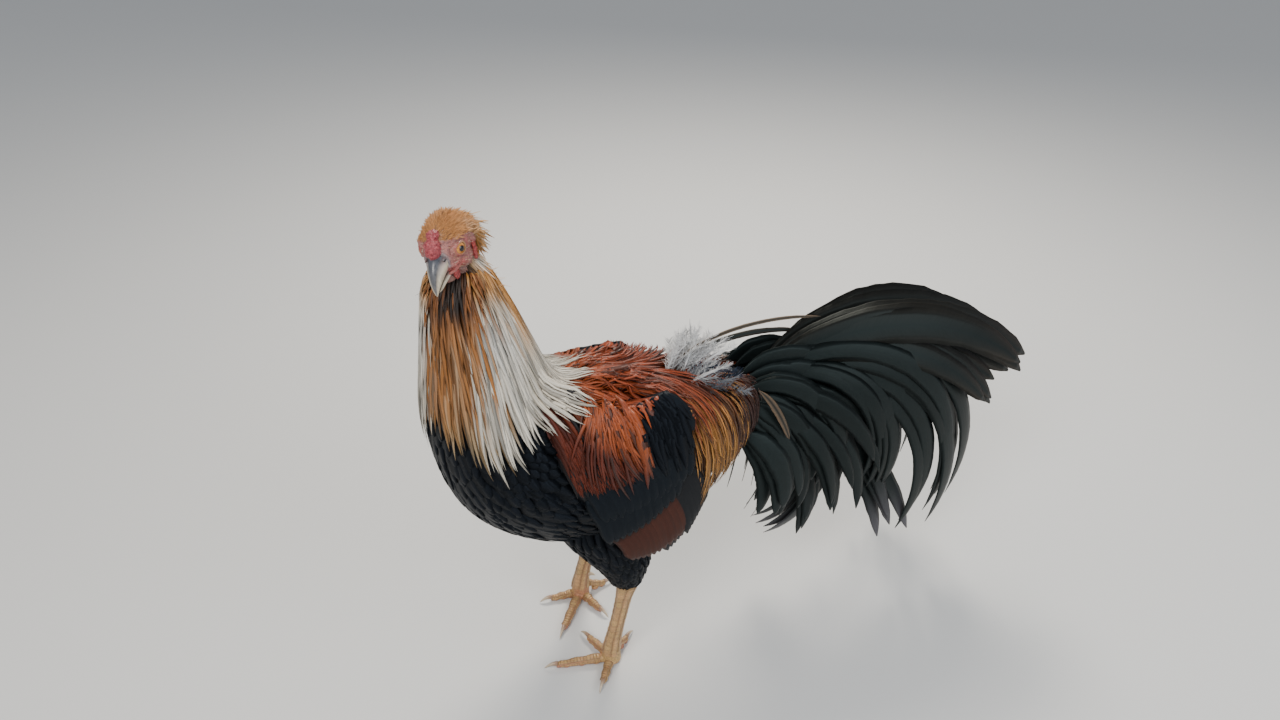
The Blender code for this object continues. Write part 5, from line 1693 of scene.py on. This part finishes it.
COMB_PINK = (0.46, 0.085, 0.095), (0.30, 0.035, 0.045)         # on the grains, and between them
LOBE_RED = (0.46, 0.070, 0.060), (0.26, 0.030, 0.028)
WATTLE_RED = (0.40, 0.060, 0.055), (0.24, 0.030, 0.028)
comb_finish = flesh_finish(
    "comb_flesh", 1100, 0.0004, 0.34, Subsurface_Weight=0.15, Subsurface_Radius=(0.005, 0.0015, 0.0015),
)
comb = beaded("comb_form", (
    ((0.0222, 0, 0.0068), (0.0080, 0.0060, 0.0090)),
    ((0.0160, 0, 0.0150), (0.0052, 0.0046, 0.0040)),
), 90, 0.0011, 0.00038, 61)
show_flesh("comb_cushion", comb, *COMB_PINK, comb_finish, ("comb",))
for name, side in SIDES.items():
    lobe = beaded("lobe_form", (
        ((-0.0068, side * 0.0182, -0.0120), (0.0026, 0.0016, 0.0070)),
        ((-0.0052, side * 0.0178, -0.0165), (0.0022, 0.0016, 0.0040)),
    ), 26, 0.0008, 0.00036, 62)
    show_flesh(f"lobe_{name}", lobe, *LOBE_RED, comb_finish, (f"earlobe_{name}",))
    wattle = beaded("wattle_form", (
        ((0.0165, side * 0.0092, -0.0195), (0.0040, 0.0020, 0.0048)),
    ), 30, 0.0008, 0.00036, 63)
    show_flesh(f"wattle_{name}_flap", wattle, *WATTLE_RED, comb_finish, (f"wattle_{name}",))

# %% [markdown]
# ## Beak
# The upper beak is a hooked shell of horn with a ridge along its top and thin cutting edges. It is
# dark slate along the ridge and pale as bone at its edges. Rings are squeezed towards the top to
# make the ridge, and the nostril is a slit under a small scale at its root.

# %% Beak
UPPER = np.array((
    # forward, height of the centre, up, down, half width
    (0.0205, -0.0042, 0.0090, 0.0096, 0.0096),
    (0.0245, -0.0062, 0.0087, 0.0094, 0.0088),
    (0.0290, -0.0084, 0.0085, 0.0092, 0.0074),
    (0.0335, -0.0117, 0.0078, 0.0084, 0.0056),
    (0.0370, -0.0156, 0.0062, 0.0066, 0.0039),
    (0.0390, -0.0193, 0.0042, 0.0043, 0.0025),
    (0.0398, -0.0226, 0.0024, 0.0022, 0.0013),
    (0.0400, -0.0246, 0.0005, 0.0006, 0.0004),
))
LOWER = np.array((
    (0.0200, -0.0158, 0.0030, 0.0040, 0.0078),
    (0.0245, -0.0174, 0.0030, 0.0038, 0.0066),
    (0.0290, -0.0194, 0.0028, 0.0034, 0.0050),
    (0.0330, -0.0218, 0.0020, 0.0024, 0.0032),
    (0.0354, -0.0238, 0.0007, 0.0008, 0.0010),
))
HORN_DARK = (0.050, 0.060, 0.080)
HORN_PALE = (0.50, 0.42, 0.30)
HORN_FLESH = (0.30, 0.20, 0.17)
MOUTH_SHADE = (0.030, 0.018, 0.016)
NOSTRIL_SHADE = (0.015, 0.010, 0.010)
ROUND_BEAK = 48

horn_finish = Finish("beak_horn", roughness=0.28, Coat_Weight=0.25, Coat_Roughness=0.15)
horn_place = horn_finish.split(horn_finish.attribute("vane"))
growth = horn_finish.noise(horn_finish.join(horn_place[1] * 500, horn_place[0] * 5, 0.0), 1.0, 3.0)
horn_shade = growth.ramp(0.3, 0.7) * 0.35 + 0.80
horn_finish.set("Base Color", horn_finish.scaled(horn_finish.attribute("tint", "Color"), horn_shade))
horn_finish.set("Roughness", growth.ramp(0.2, 0.8) * 0.22 + 0.22)
horn_finish.bump(growth, 0.00015, 0.6)


def horn(name, rings, colours, grain, replaces):
    """A horn shell from rings in the bird's frame, with colours and lines of growth by ring and point."""
    points, faces = loft(rings)
    made = mesh_of(name, (points + BIRD_AT, faces))
    paint(made, colours)
    mark(made, np.pad(grain.reshape(-1, 2), ((0, 0), (0, 1))))
    show(name, made, horn_finish, replaces)
    print(name, "points", len(points))


def beak_half(name, table, rows, pinch, outside, replaces):
    """One half of the beak; outside is 1 where its ridge is above and -1 where it is below."""
    rings = oval_rings(table, rows, ROUND_BEAK, pinch)
    turn = ring_angles(ROUND_BEAK)
    rise = np.cos(turn)
    keel = 0.10 * np.maximum(-rise * outside, 0) ** 2 * (np.abs(np.sin(turn)) < 0.9)
    rings = rings + (rings.mean(axis=1, keepdims=True) - rings) * keel[:, None] * (0, 0, 1)
    along = np.linspace(0, 1, rows)[:, None]
    ridge = smooth(rise * outside, 0.12, 0.80) * (1 - 0.15 * along)
    colours = mix(mix(HORN_FLESH, HORN_PALE, smooth(along, 0.1, 0.5)), HORN_DARK, ridge)
    colours = mix(colours, HORN_PALE, smooth(np.abs(rise), 0.30, 0.05))
    # Painted shade on the inward faces where the two halves of the beak meet, in the mouth's gap
    colours = mix(colours, MOUTH_SHADE, smooth(-rise * outside, 0.50, 0.85))
    grain = np.stack(np.broadcast_arrays(np.sin(turn), along * 0.022), axis=-1)
    horn(name, from_head(rings), colours, grain, replaces)


beak_half("beak_upper_horn", UPPER, 44, 0.34, 1, ("beak_upper",))
beak_half("beak_lower_horn", LOWER, 26, 0.0, -1, ("beak_lower",))

# %% Nostrils
nostril_finish = Finish("nostril_shade", roughness=0.7)
nostril_finish.set("Base Color", NOSTRIL_SHADE)
for name, side in SIDES.items():
    # The slit is a dark ball of painted shade that stands for the inside of the nostril
    slit = ball((0.0248, side * 0.0081, -0.0024), (0.0019, 0.0007, 0.0005), 9, 12)
    hole = mesh_of(f"nostril_{name}", (from_head(slit[0]) + BIRD_AT, slit[1]))
    show(f"nostril_{name}_slit", hole, nostril_finish)
    scale = ball((0.0240, side * 0.0075, -0.0012), (0.0028, 0.0010, 0.0010), 10, 16)
    cover = melt("nostril_cover", [form("nostril_cover", on_head(scale))], 0.00025, 1)
    show_flesh(f"nostril_{name}_cover", cover, CERE, DUSK, lid_finish, ())

# %% [markdown]
# ## Small feathers of the head
# Short pointed feathers cover the crown like fur and stand up at its edge, pale ones cover the ear,
# and longer golden ones start at the nape. Rays are sent from all round towards the middle of the
# head: where one meets feathered skin, a vane is planted and leans backwards over its neighbours.
# A few pale bristles grow on the bare face too.

# %% Small feathers of the head
def strew(count, centre=(-0.004, 0, -0.002)):
    """Spots and normals on the head, spread evenly by turning round a spiral, in the head's frame."""
    number = np.arange(count) + 0.5
    polar = np.arccos(1 - 2 * number / count)
    turn = number * math.pi * (3 - math.sqrt(5))
    ways = np.stack((np.cos(turn) * np.sin(polar), np.sin(turn) * np.sin(polar), np.cos(polar)), axis=1)
    spots, sides = [], []
    for way in ways:
        start = from_head(np.array(centre) + way * 0.06)
        hit = head_tree.ray_cast(Vector(start), Vector(-way @ HEAD_TURN.T), 0.06)
        if hit[0] is not None:
            spots.append(np.array(hit[0]))
            sides.append(np.array(hit[1]))
    return to_head(np.array(spots)), np.array(sides) @ HEAD_TURN


def swept_back(spots, swing):
    """Ways that lead backwards, and outwards and down by the given swing."""
    return np.stack(np.broadcast_arrays(-1.0, swing * np.sign(spots[:, 1]), -swing), axis=1)


def plant(plumage, spots, normals, lengths, stand, widths, colours, ways, rows):
    """Small vanes that lean along given ways from their spots and curl over towards the skin."""
    draw = plumage.draw
    parts = np.linspace(0, 1, rows)
    back = ways + draw.normal(0, 0.16, spots.shape)
    lie = unit(back - normals * (back * normals).sum(axis=1, keepdims=True))
    stand = np.radians(stand)[:, None, None] * (1.0 - 0.45 * parts[:, None])
    way = lie[:, None] * np.cos(stand) + normals[:, None] * np.sin(stand)
    step = lengths[:, None, None] / (len(parts) - 1)
    centres = spots[:, None] - normals[:, None] * 0.0006 + np.cumsum(way * step, axis=1) - way[:, :1] * step
    outwards = unit(normals[:, None] - way * (way * normals[:, None]).sum(axis=-1, keepdims=True))
    shape = np.sin(np.pi * (0.22 + 0.76 * parts)) ** 0.8
    tone = colours[:, None] * draw.uniform(0.75, 1.2, (len(spots), 1, 1))
    turn = np.arctan2(spots[:, 1], spots[:, 2]) / math.tau
    homes = np.stack((0.5 + turn * 0.9, 0.1 + (spots[:, 0] + 0.03) * 14), axis=1)
    plumage.add(
        centres @ HEAD_TURN.T + HEAD_PLACE, outwards @ HEAD_TURN.T, widths[:, None] * shape,
        tone * 0.85, tone, homes, jag=0.2, cup=0.10, roll=12,
    )


print("skin of the head hit by rays out of 1,000", len(strew(1000)[0]))

# %% Crown
crown = Plumage(71)
spots, sides = strew(8600)
height = spots[:, 2] - feather_line(spots[:, 0])
feathered = (height > crown.draw.normal(0, 0.0007, len(spots))) & (spots[:, 0] < 0.0225)
feathered &= (np.abs(spots[:, 1]) > 0.0045) | (spots[:, 0] < 0.0125)
spots, sides, height = spots[feathered], sides[feathered], height[feathered]
x, y, z = spots.T
count = len(spots)
behind = smooth(x, 0.014, -0.020)
lengths = (0.0042 + 0.0060 * behind) * crown.draw.uniform(0.7, 1.3, count)
stand = 12 + 16 * smooth(z, 0.004, 0.014) * smooth(x, 0.016, 0.002) + np.abs(crown.draw.normal(0, 9, count))
ear = smooth(np.abs(y), 0.009, 0.014) * smooth(height, 0.012, 0.003) * smooth(x, 0.000, -0.006)
colours = mix(mix(CROWN_TAN, GOLD, smooth(x, -0.006, -0.022)), CREAM, 0.25 * ear)
widths = (0.0008 + 0.0006 * behind) * crown.draw.uniform(0.7, 1.3, count)
fall = 0.35 + 1.6 * smooth(x, -0.014, -0.026)
plant(crown, spots, sides, lengths, stand, widths, colours, swept_back(spots, fall), 5)
crown.make("crown_feathers", small_finish)

# %% Throat
THROAT_BLACK = (0.045, 0.026, 0.018)
DOWNWARDS = np.array((-0.35, 0.0, -1.6))
throat_coat = Plumage(74)
spots, sides = strew(4200, (-0.004, 0, -0.016))
x, y, z = spots.T
kept = (x < -0.0125 + 0.002 * throat_coat.draw.normal(0, 1, len(spots))) & (z < 0.004)
kept |= (z < -0.0185 - 0.3 * np.maximum(x, 0)) & (x < 0.0035)
kept |= (z < -0.0245) & (x < 0.0130)
spots, sides = spots[kept], sides[kept]
x, y, z = spots.T
count = len(spots)
lengths = throat_coat.draw.uniform(0.0090, 0.0170, count) + 0.0080 * smooth(z, -0.014, -0.024)
stand = 18 + np.abs(throat_coat.draw.normal(0, 8, count))
colours = mix(GOLD, CREAM, throat_coat.draw.random(count) * 0.7)
colours = mix(colours, THROAT_BLACK, smooth(x, -0.002, 0.004))
colours = mix(colours, WHITE, np.exp(-(((x + 0.007) / 0.004) ** 2 + ((z + 0.021) / 0.005) ** 2)))
widths = throat_coat.draw.uniform(0.0012, 0.0020, count)
plant(throat_coat, spots, sides, lengths, stand, widths, colours, DOWNWARDS, 6)
throat_coat.make("throat_feathers", small_finish)

# %% Bristles of the face
BRISTLE_TAN = (0.62, 0.40, 0.18)
BRISTLE_PALE = (0.75, 0.66, 0.50)
bristles = Plumage(72)
spots, sides = strew(1100)
x, y, z = spots.T
bald = (z < feather_line(x) - 0.001) & (x < 0.020) & (z > -0.024)
bald &= (eye_distance(spots) > 1.35) & (np.abs(y) > 0.003)
bald &= bristles.draw.random(len(spots)) < 0.55
spots, sides = spots[bald], sides[bald]
count = len(spots)
lengths = bristles.draw.uniform(0.0020, 0.0048, count)
stand = bristles.draw.uniform(18, 55, count)
pale = mix(BRISTLE_TAN, BRISTLE_PALE, bristles.draw.random(count))
plant(bristles, spots, sides, lengths, stand, np.full(count, 0.00030), pale, swept_back(spots, 0.3), 7)
bristles.make("face_bristles", small_finish)

# %% Nape
nape = Plumage(73)
spots, sides = strew(1100)
at_nape = (spots[:, 0] < -0.012) & (spots[:, 2] < 0.012) & (spots[:, 2] > -0.020)
spots, sides = spots[at_nape], sides[at_nape]
count = len(spots)
stray = nape.draw.random(count) < 0.035
lengths = nape.draw.uniform(0.014, 0.024, count)
stand = np.where(stray, nape.draw.uniform(25, 45, count), nape.draw.uniform(4, 14, count))
gold = mix(GOLD, CREAM, nape.draw.random(count) * 0.5)
widths = nape.draw.uniform(0.0016, 0.0026, count)
ways = swept_back(spots, np.where(stray, 0.5, 2.6))
plant(nape, spots, sides, lengths, stand, widths, gold, ways, 9)
nape.make("nape_feathers", hackle_finish)

# %% [markdown]
# ## Legs and feet
# A cock's leg below the hock has no flesh to speak of: thin dry skin over bone and tendon. The shank
# and the four toes of each foot are lofted, together with the pads underneath, and melted into one
# leg. Where the toes meet the foot the melt makes the small web that a lofted model lacks.

# %% Leg shapes
ANKLE = {1: (0.0, 0.042), -1: (-0.004, -0.058)}
TOES = {                     # heading in degrees from the front, and length with the claw
    1: {"middle": (-13.6, 0.070), "outer": (52.6, 0.046), "inner": (-71.5, 0.050), "back": (-144.6, 0.044)},
    -1: {"middle": (50.0, 0.068), "outer": (-8.0, 0.046), "inner": (108.0, 0.048), "back": (186.0, 0.044)},
}
TOE_WIDTH = {"middle": 0.0112, "outer": 0.0098, "inner": 0.0102, "back": 0.0088}
TOE_START = 0.0105
CLAW_REACH = 0.012           # how much of a toe's length is claw
SHANK = np.array((
    # lean from the hock to the ankle, height, half length, half width
    (0.0, 0.1150, 0.0102, 0.0094),
    (0.05, 0.1040, 0.0104, 0.0092),
    (0.25, 0.0880, 0.0082, 0.0072),
    (0.55, 0.0600, 0.0075, 0.0067),
    (0.85, 0.0340, 0.0081, 0.0075),
    (1.0, 0.0170, 0.0094, 0.0092),
    (1.0, 0.0060, 0.0096, 0.0096),
    (1.0, 0.0004, 0.0070, 0.0070),
))


def shank_points(side, part, turn, lift=0.0):
    """A spot on a shank: how far down its table it is, an angle from its front, how far off the surface."""
    part, turn, lift = np.broadcast_arrays(part, turn, lift)
    lean, z, long_half, wide_half = np.moveaxis(between(SHANK, part * (len(SHANK) - 1.0)), -1, 0)
    hock, ankle = np.array(HOCK[side]), np.array(ANKLE[side])
    turn = np.radians(turn)
    tendon = 1 + 0.10 * np.exp(-(wrap(np.degrees(turn) - 180) / 40) ** 2) - 0.05 * np.sin(turn) ** 2
    return np.stack((
        hock[0] + (ankle[0] - hock[0]) * lean + (long_half + lift) * tendon * np.cos(turn),
        hock[1] + (ankle[1] - hock[1]) * lean + side * (wide_half + lift) * tendon * np.sin(turn),
        z,
    ), axis=-1)


def toe_points(side, kind, part, turn, lift=0.0):
    """A spot on a toe: how far along it is, an angle from its top, how far off the surface."""
    heading, length = TOES[side][kind]
    part, turn, lift = np.broadcast_arrays(part, turn, lift)
    along = np.array((math.cos(math.radians(heading)), math.sin(math.radians(heading)), 0))
    across = np.array((-along[1], along[0], 0))
    reach = length - CLAW_REACH
    joints = np.cos(math.tau * (3 * part + 0.15))
    half = 0.5 * TOE_WIDTH[kind] * (1.0 - 0.32 * part + 0.055 * joints)
    half = half * np.sqrt(np.clip((1.04 - part) / 0.14, 0.05, 1))
    tall = 0.0098 * (1.0 - 0.36 * part + 0.05 * joints) * np.sqrt(np.clip((1.06 - part) / 0.14, 0.3, 1))
    raised = (0.013 if kind == "back" else 0.0) * (1.0 - part) ** 1.5
    turn = np.radians(turn)
    distance = TOE_START - 0.006 + (reach - TOE_START + 0.006) * part
    level = np.clip(0.5 + 0.52 * np.cos(turn), 0.0, 1.1) * tall + raised + np.cos(turn) * lift
    root = np.array((*ANKLE[side], 0.0))
    return (
        root + along * distance[..., None] + across * ((half + lift) * np.sin(turn))[..., None]
        + np.array((0, 0, 1.0)) * np.maximum(level, 0.0)[..., None]
    )


def toe_pads(side, kind):
    """Soft pads under a toe's joints, as ovals that touch the floor."""
    for part, size in ((0.22, 1.0), (0.50, 0.95), (0.80, 0.85)):
        if kind == "back" and part < 0.3:
            continue
        low = toe_points(side, kind, np.array(part), np.array(180.0))
        wide = 0.5 * TOE_WIDTH[kind] * size
        yield ball((low[0], low[1], 0.0026), (wide, wide, 0.0025), 8, 14)


print("claw of the middle toe begins", TOES[1]["middle"][1] - CLAW_REACH, "from the ankle")

# %% Melt the legs
LEG_TAN = (0.54, 0.335, 0.130)
LEG_ROSE = (0.50, 0.20, 0.115)
LEG_DARK = (0.16, 0.085, 0.045)
ROUND_LEG = np.arange(0, 360, 12)
DOWN_SHANK = np.linspace(0, 1, 40)[:, None]
ALONG_TOE = np.linspace(0, 1, 34)[:, None]
leg_finish = flesh_finish(
    "leg_skin", 620, 0.0005, 0.42, Subsurface_Weight=0.08, Subsurface_Radius=(0.003, 0.0015, 0.001),
)
for name, side in SIDES.items():
    leg_forms = [form("leg", loft(shank_points(side, DOWN_SHANK, ROUND_LEG, -0.0004)))]
    for kind in TOES[side]:
        leg_forms.append(form("toe", loft(toe_points(side, kind, ALONG_TOE, ROUND_LEG, -0.0003))))
        leg_forms.extend(form("pad", pad) for pad in toe_pads(side, kind))
    leg_forms.append(form("sole", ball((*ANKLE[side], 0.0040), (0.0105, 0.0105, 0.0039), 10, 24)))
    leg = melt("leg", leg_forms, 0.00075, 4)
    points = points_of(leg.data)
    points[:, 2] = np.maximum(points[:, 2], 0.0)
    wrinkle = crumple(points * (1, 1, 1.6), 420.0, 3)
    inner = smooth(-side * (points[:, 1] - ANKLE[side][1]), -0.002, 0.007)
    low = smooth(points[:, 2], 0.006, 0.001)
    tint = mix(LEG_TAN, LEG_ROSE, np.clip(0.75 * inner + 0.6 * low, 0, 1))
    tint = mix(tint, LEG_DARK, 0.5 * smooth(wrinkle, 0.15, 0.8))
    solids = [f"shank_{name}"] + [f"toe_{kind}_{name}" for kind in TOES[side]]
    show(f"leg_{name}_skin", skin_mesh(points, leg.data, tint), leg_finish, solids)
    bpy.data.objects.remove(leg)
    print("points on the", name, "leg", len(points))

# %% [markdown]
# ## Scutes
# Two rows of broad scutes run down the front of the shank like offset roof tiles, with smaller ones
# behind, and one row runs along the top of each toe. Each is a small domed plate whose lower edge
# stands proud of the next. Plates are woven like vanes, as arrays over the leg's own angles.

# %% Scutes
PLATE_ALONG = np.array((0.0, 0.06, 0.25, 0.55, 0.82, 0.95, 1.0))
PLATE_RISE = np.array((-0.35, 0.10, 0.45, 0.75, 1.0, 0.85, -0.25))
PLATE_ACROSS = np.array((-1.0, -0.90, -0.55, 0.0, 0.55, 0.90, 1.0))
PLATE_DOME = np.array((-0.45, 0.45, 0.85, 1.0, 0.85, 0.45, -0.45))


class Plates(Woven):
    """Domed plates of one leg."""

    def add(self, surface, parts, turns, length, width, height, home):
        """Plates on a surface at parts and turns, each so long in parts and so wide in degrees."""
        count = len(parts)
        parts, turns = parts[:, None, None], turns[:, None, None]
        width = np.broadcast_to(width, count)[:, None, None]
        corner = 1 - 0.16 * np.abs(PLATE_ALONG - 0.5)[:, None] ** 2 * 4 * np.abs(PLATE_ACROSS)
        part = parts + length * (PLATE_ALONG[:, None] * corner)
        turn = turns + 0.5 * width * (PLATE_ACROSS * (0.92 + 0.08 * corner))
        proud = height * self.draw.uniform(0.85, 1.15, (count, 1, 1)) * PLATE_RISE[:, None] * PLATE_DOME
        sunk = np.minimum(PLATE_RISE[:, None], PLATE_DOME) * height
        lift = np.where(sunk < 0, sunk, proud)
        grid = np.arange(lift.size).reshape(lift.shape)
        quads = np.stack((grid[:, :-1, :-1], grid[:, :-1, 1:], grid[:, 1:, 1:], grid[:, 1:, :-1]), axis=-1)
        rim = np.maximum(np.abs(PLATE_ACROSS) ** 3, smooth(PLATE_ALONG, 0.86, 1.0)[:, None])
        rim = np.maximum(rim, smooth(PLATE_ALONG, 0.10, 0.0)[:, None])
        tone = mix(LEG_TAN, LEG_ROSE, self.draw.random((count, 1, 1)) * 0.35)
        tone = tone * self.draw.uniform(0.85, 1.15, (count, 1, 1, 1))
        patch = np.stack(np.broadcast_arrays(
            home[0] + turns / 3600 + PATCH * 0.5 * PLATE_ACROSS,
            home[1] + parts * 0.2 + PATCH * (PLATE_ALONG[:, None] - 0.5),
        ), axis=-1)
        self.parts.append((
            surface(part, turn, lift).reshape(-1, 3), quads.reshape(-1, 4),
            mix(tone, LEG_DARK, 0.75 * rim).reshape(-1, 3), patch.reshape(-1, 2),
        ))


SHANK_COLUMNS = (
    # angle from the front, degrees wide, how many, where the column starts, height
    (-34, 66, 15, 0.10, 0.00075), (34, 66, 15, 0.125, 0.00075),
    (148, 58, 19, 0.10, 0.00050), (212, 58, 19, 0.12, 0.00050),
    (-88, 44, 24, 0.11, 0.00050), (88, 44, 24, 0.13, 0.00050),
)
SHANK_RUN = 0.62             # how much of the shank's table a column covers
TOE_SCUTES = {"middle": 13, "outer": 10, "inner": 10, "back": 7}
OVERLAP = 1.10
scute_finish = flesh_finish("scute_horn", 900, 0.00012, 0.34, Coat_Weight=0.12)
for name, side in SIDES.items():
    plates = Plates(81)
    for column, (turn, width, count, start, height) in enumerate(SHANK_COLUMNS):
        step = SHANK_RUN / count
        parts = start + step * np.arange(count)
        turns = turn + plates.draw.normal(0, 1.5, count)
        home = (0.1 * column + 0.1, 0.1)
        plates.add(partial(shank_points, side), parts, turns, step * OVERLAP, width, height, home)
    for row, kind in enumerate(TOES[side]):
        on_toe = partial(toe_points, side, kind)
        count = TOE_SCUTES[kind]
        first = 0.14 if kind != "back" else 0.22
        step = (0.97 - first) / count
        parts = first + step * np.arange(count)
        turns = plates.draw.normal(0, 2, count)
        home = 0.2 * row + 0.1
        plates.add(on_toe, parts, turns, step * OVERLAP, 104 - 16 * parts, 0.00070, (home, 0.5))
        for turn in (-78.0, 78.0):
            parts = first + 0.8 * step * np.arange(int(count * 1.2))
            plates.add(on_toe, parts, np.full(len(parts), turn), 0.8 * step, 40, 0.00040, (home, 0.75))
    plates.make(f"scutes_{name}", scute_finish)

# %% [markdown]
# ## Claws and spur buds
# Claws and spurs are horn like the beak. A claw bends down along its length, and a shallow groove runs
# underneath it. The spurs are a guess, since the photo hides the inner rear of the shanks where they
# would stand: each is a short blunt bud.

# %% Claws and spur buds
CLAW_ROOT = (0.30, 0.17, 0.10)
CLAW_TIP = (0.50, 0.40, 0.28)
ROUND_CLAW = 16


def curved_horn(name, start, way, length, thick, droop, replaces):
    """A tapering horn that bends down towards its point."""
    part = np.linspace(0, 1, 16)[:, None]
    arch = 0.35 * np.sin(np.pi * part) * thick - droop * part ** 2
    path = start + way * length * part + np.array((0, 0, 1)) * arch
    ahead = unit(np.gradient(path, axis=0))
    across = unit(np.cross((0, 0, 1), ahead))
    above = np.cross(ahead, across)
    turn = ring_angles(ROUND_CLAW)
    radius = thick * np.sqrt(np.clip(1 - part, 0.002, 1)) ** 1.35
    groove = 1 - 0.35 * np.exp(-((turn - 1.5 * math.pi) / 0.5) ** 2)
    way_out = across[:, None] * (0.80 * np.cos(turn))[:, None] + above[:, None] * np.sin(turn)[:, None]
    rings = path[:, None] + radius[..., None] * groove[:, None] * way_out
    rings[..., 2] = np.maximum(rings[..., 2], 0.0001)
    shade = smooth(part, 0.0, 0.7) * np.ones(ROUND_CLAW)
    grain = np.stack(np.broadcast_arrays(np.sin(turn), part * 0.05), axis=-1)
    horn(name, rings, mix(CLAW_ROOT, CLAW_TIP, shade), grain, replaces)


for name, side in SIDES.items():
    for kind, (heading, length) in TOES[side].items():
        along = np.array((math.cos(math.radians(heading)), math.sin(math.radians(heading)), 0))
        start = np.array((*ANKLE[side], 0.0052)) + along * (length - CLAW_REACH - 0.0015)
        curved_horn(f"nail_{kind}_{name}", start, along, 0.0142, 0.0029, 0.0046, (f"claw_{kind}_{name}",))
    root = shank_points(side, np.array(0.58), np.array(180.0 + 38.0))
    way = unit(np.array((-0.75, -side * 0.55, -0.10)))
    curved_horn(f"spur_{name}", root - way * 0.002, way, 0.0095, 0.0034, -0.0006, ())
print("pieces so far", len(bpy.context.scene.collection.all_objects))
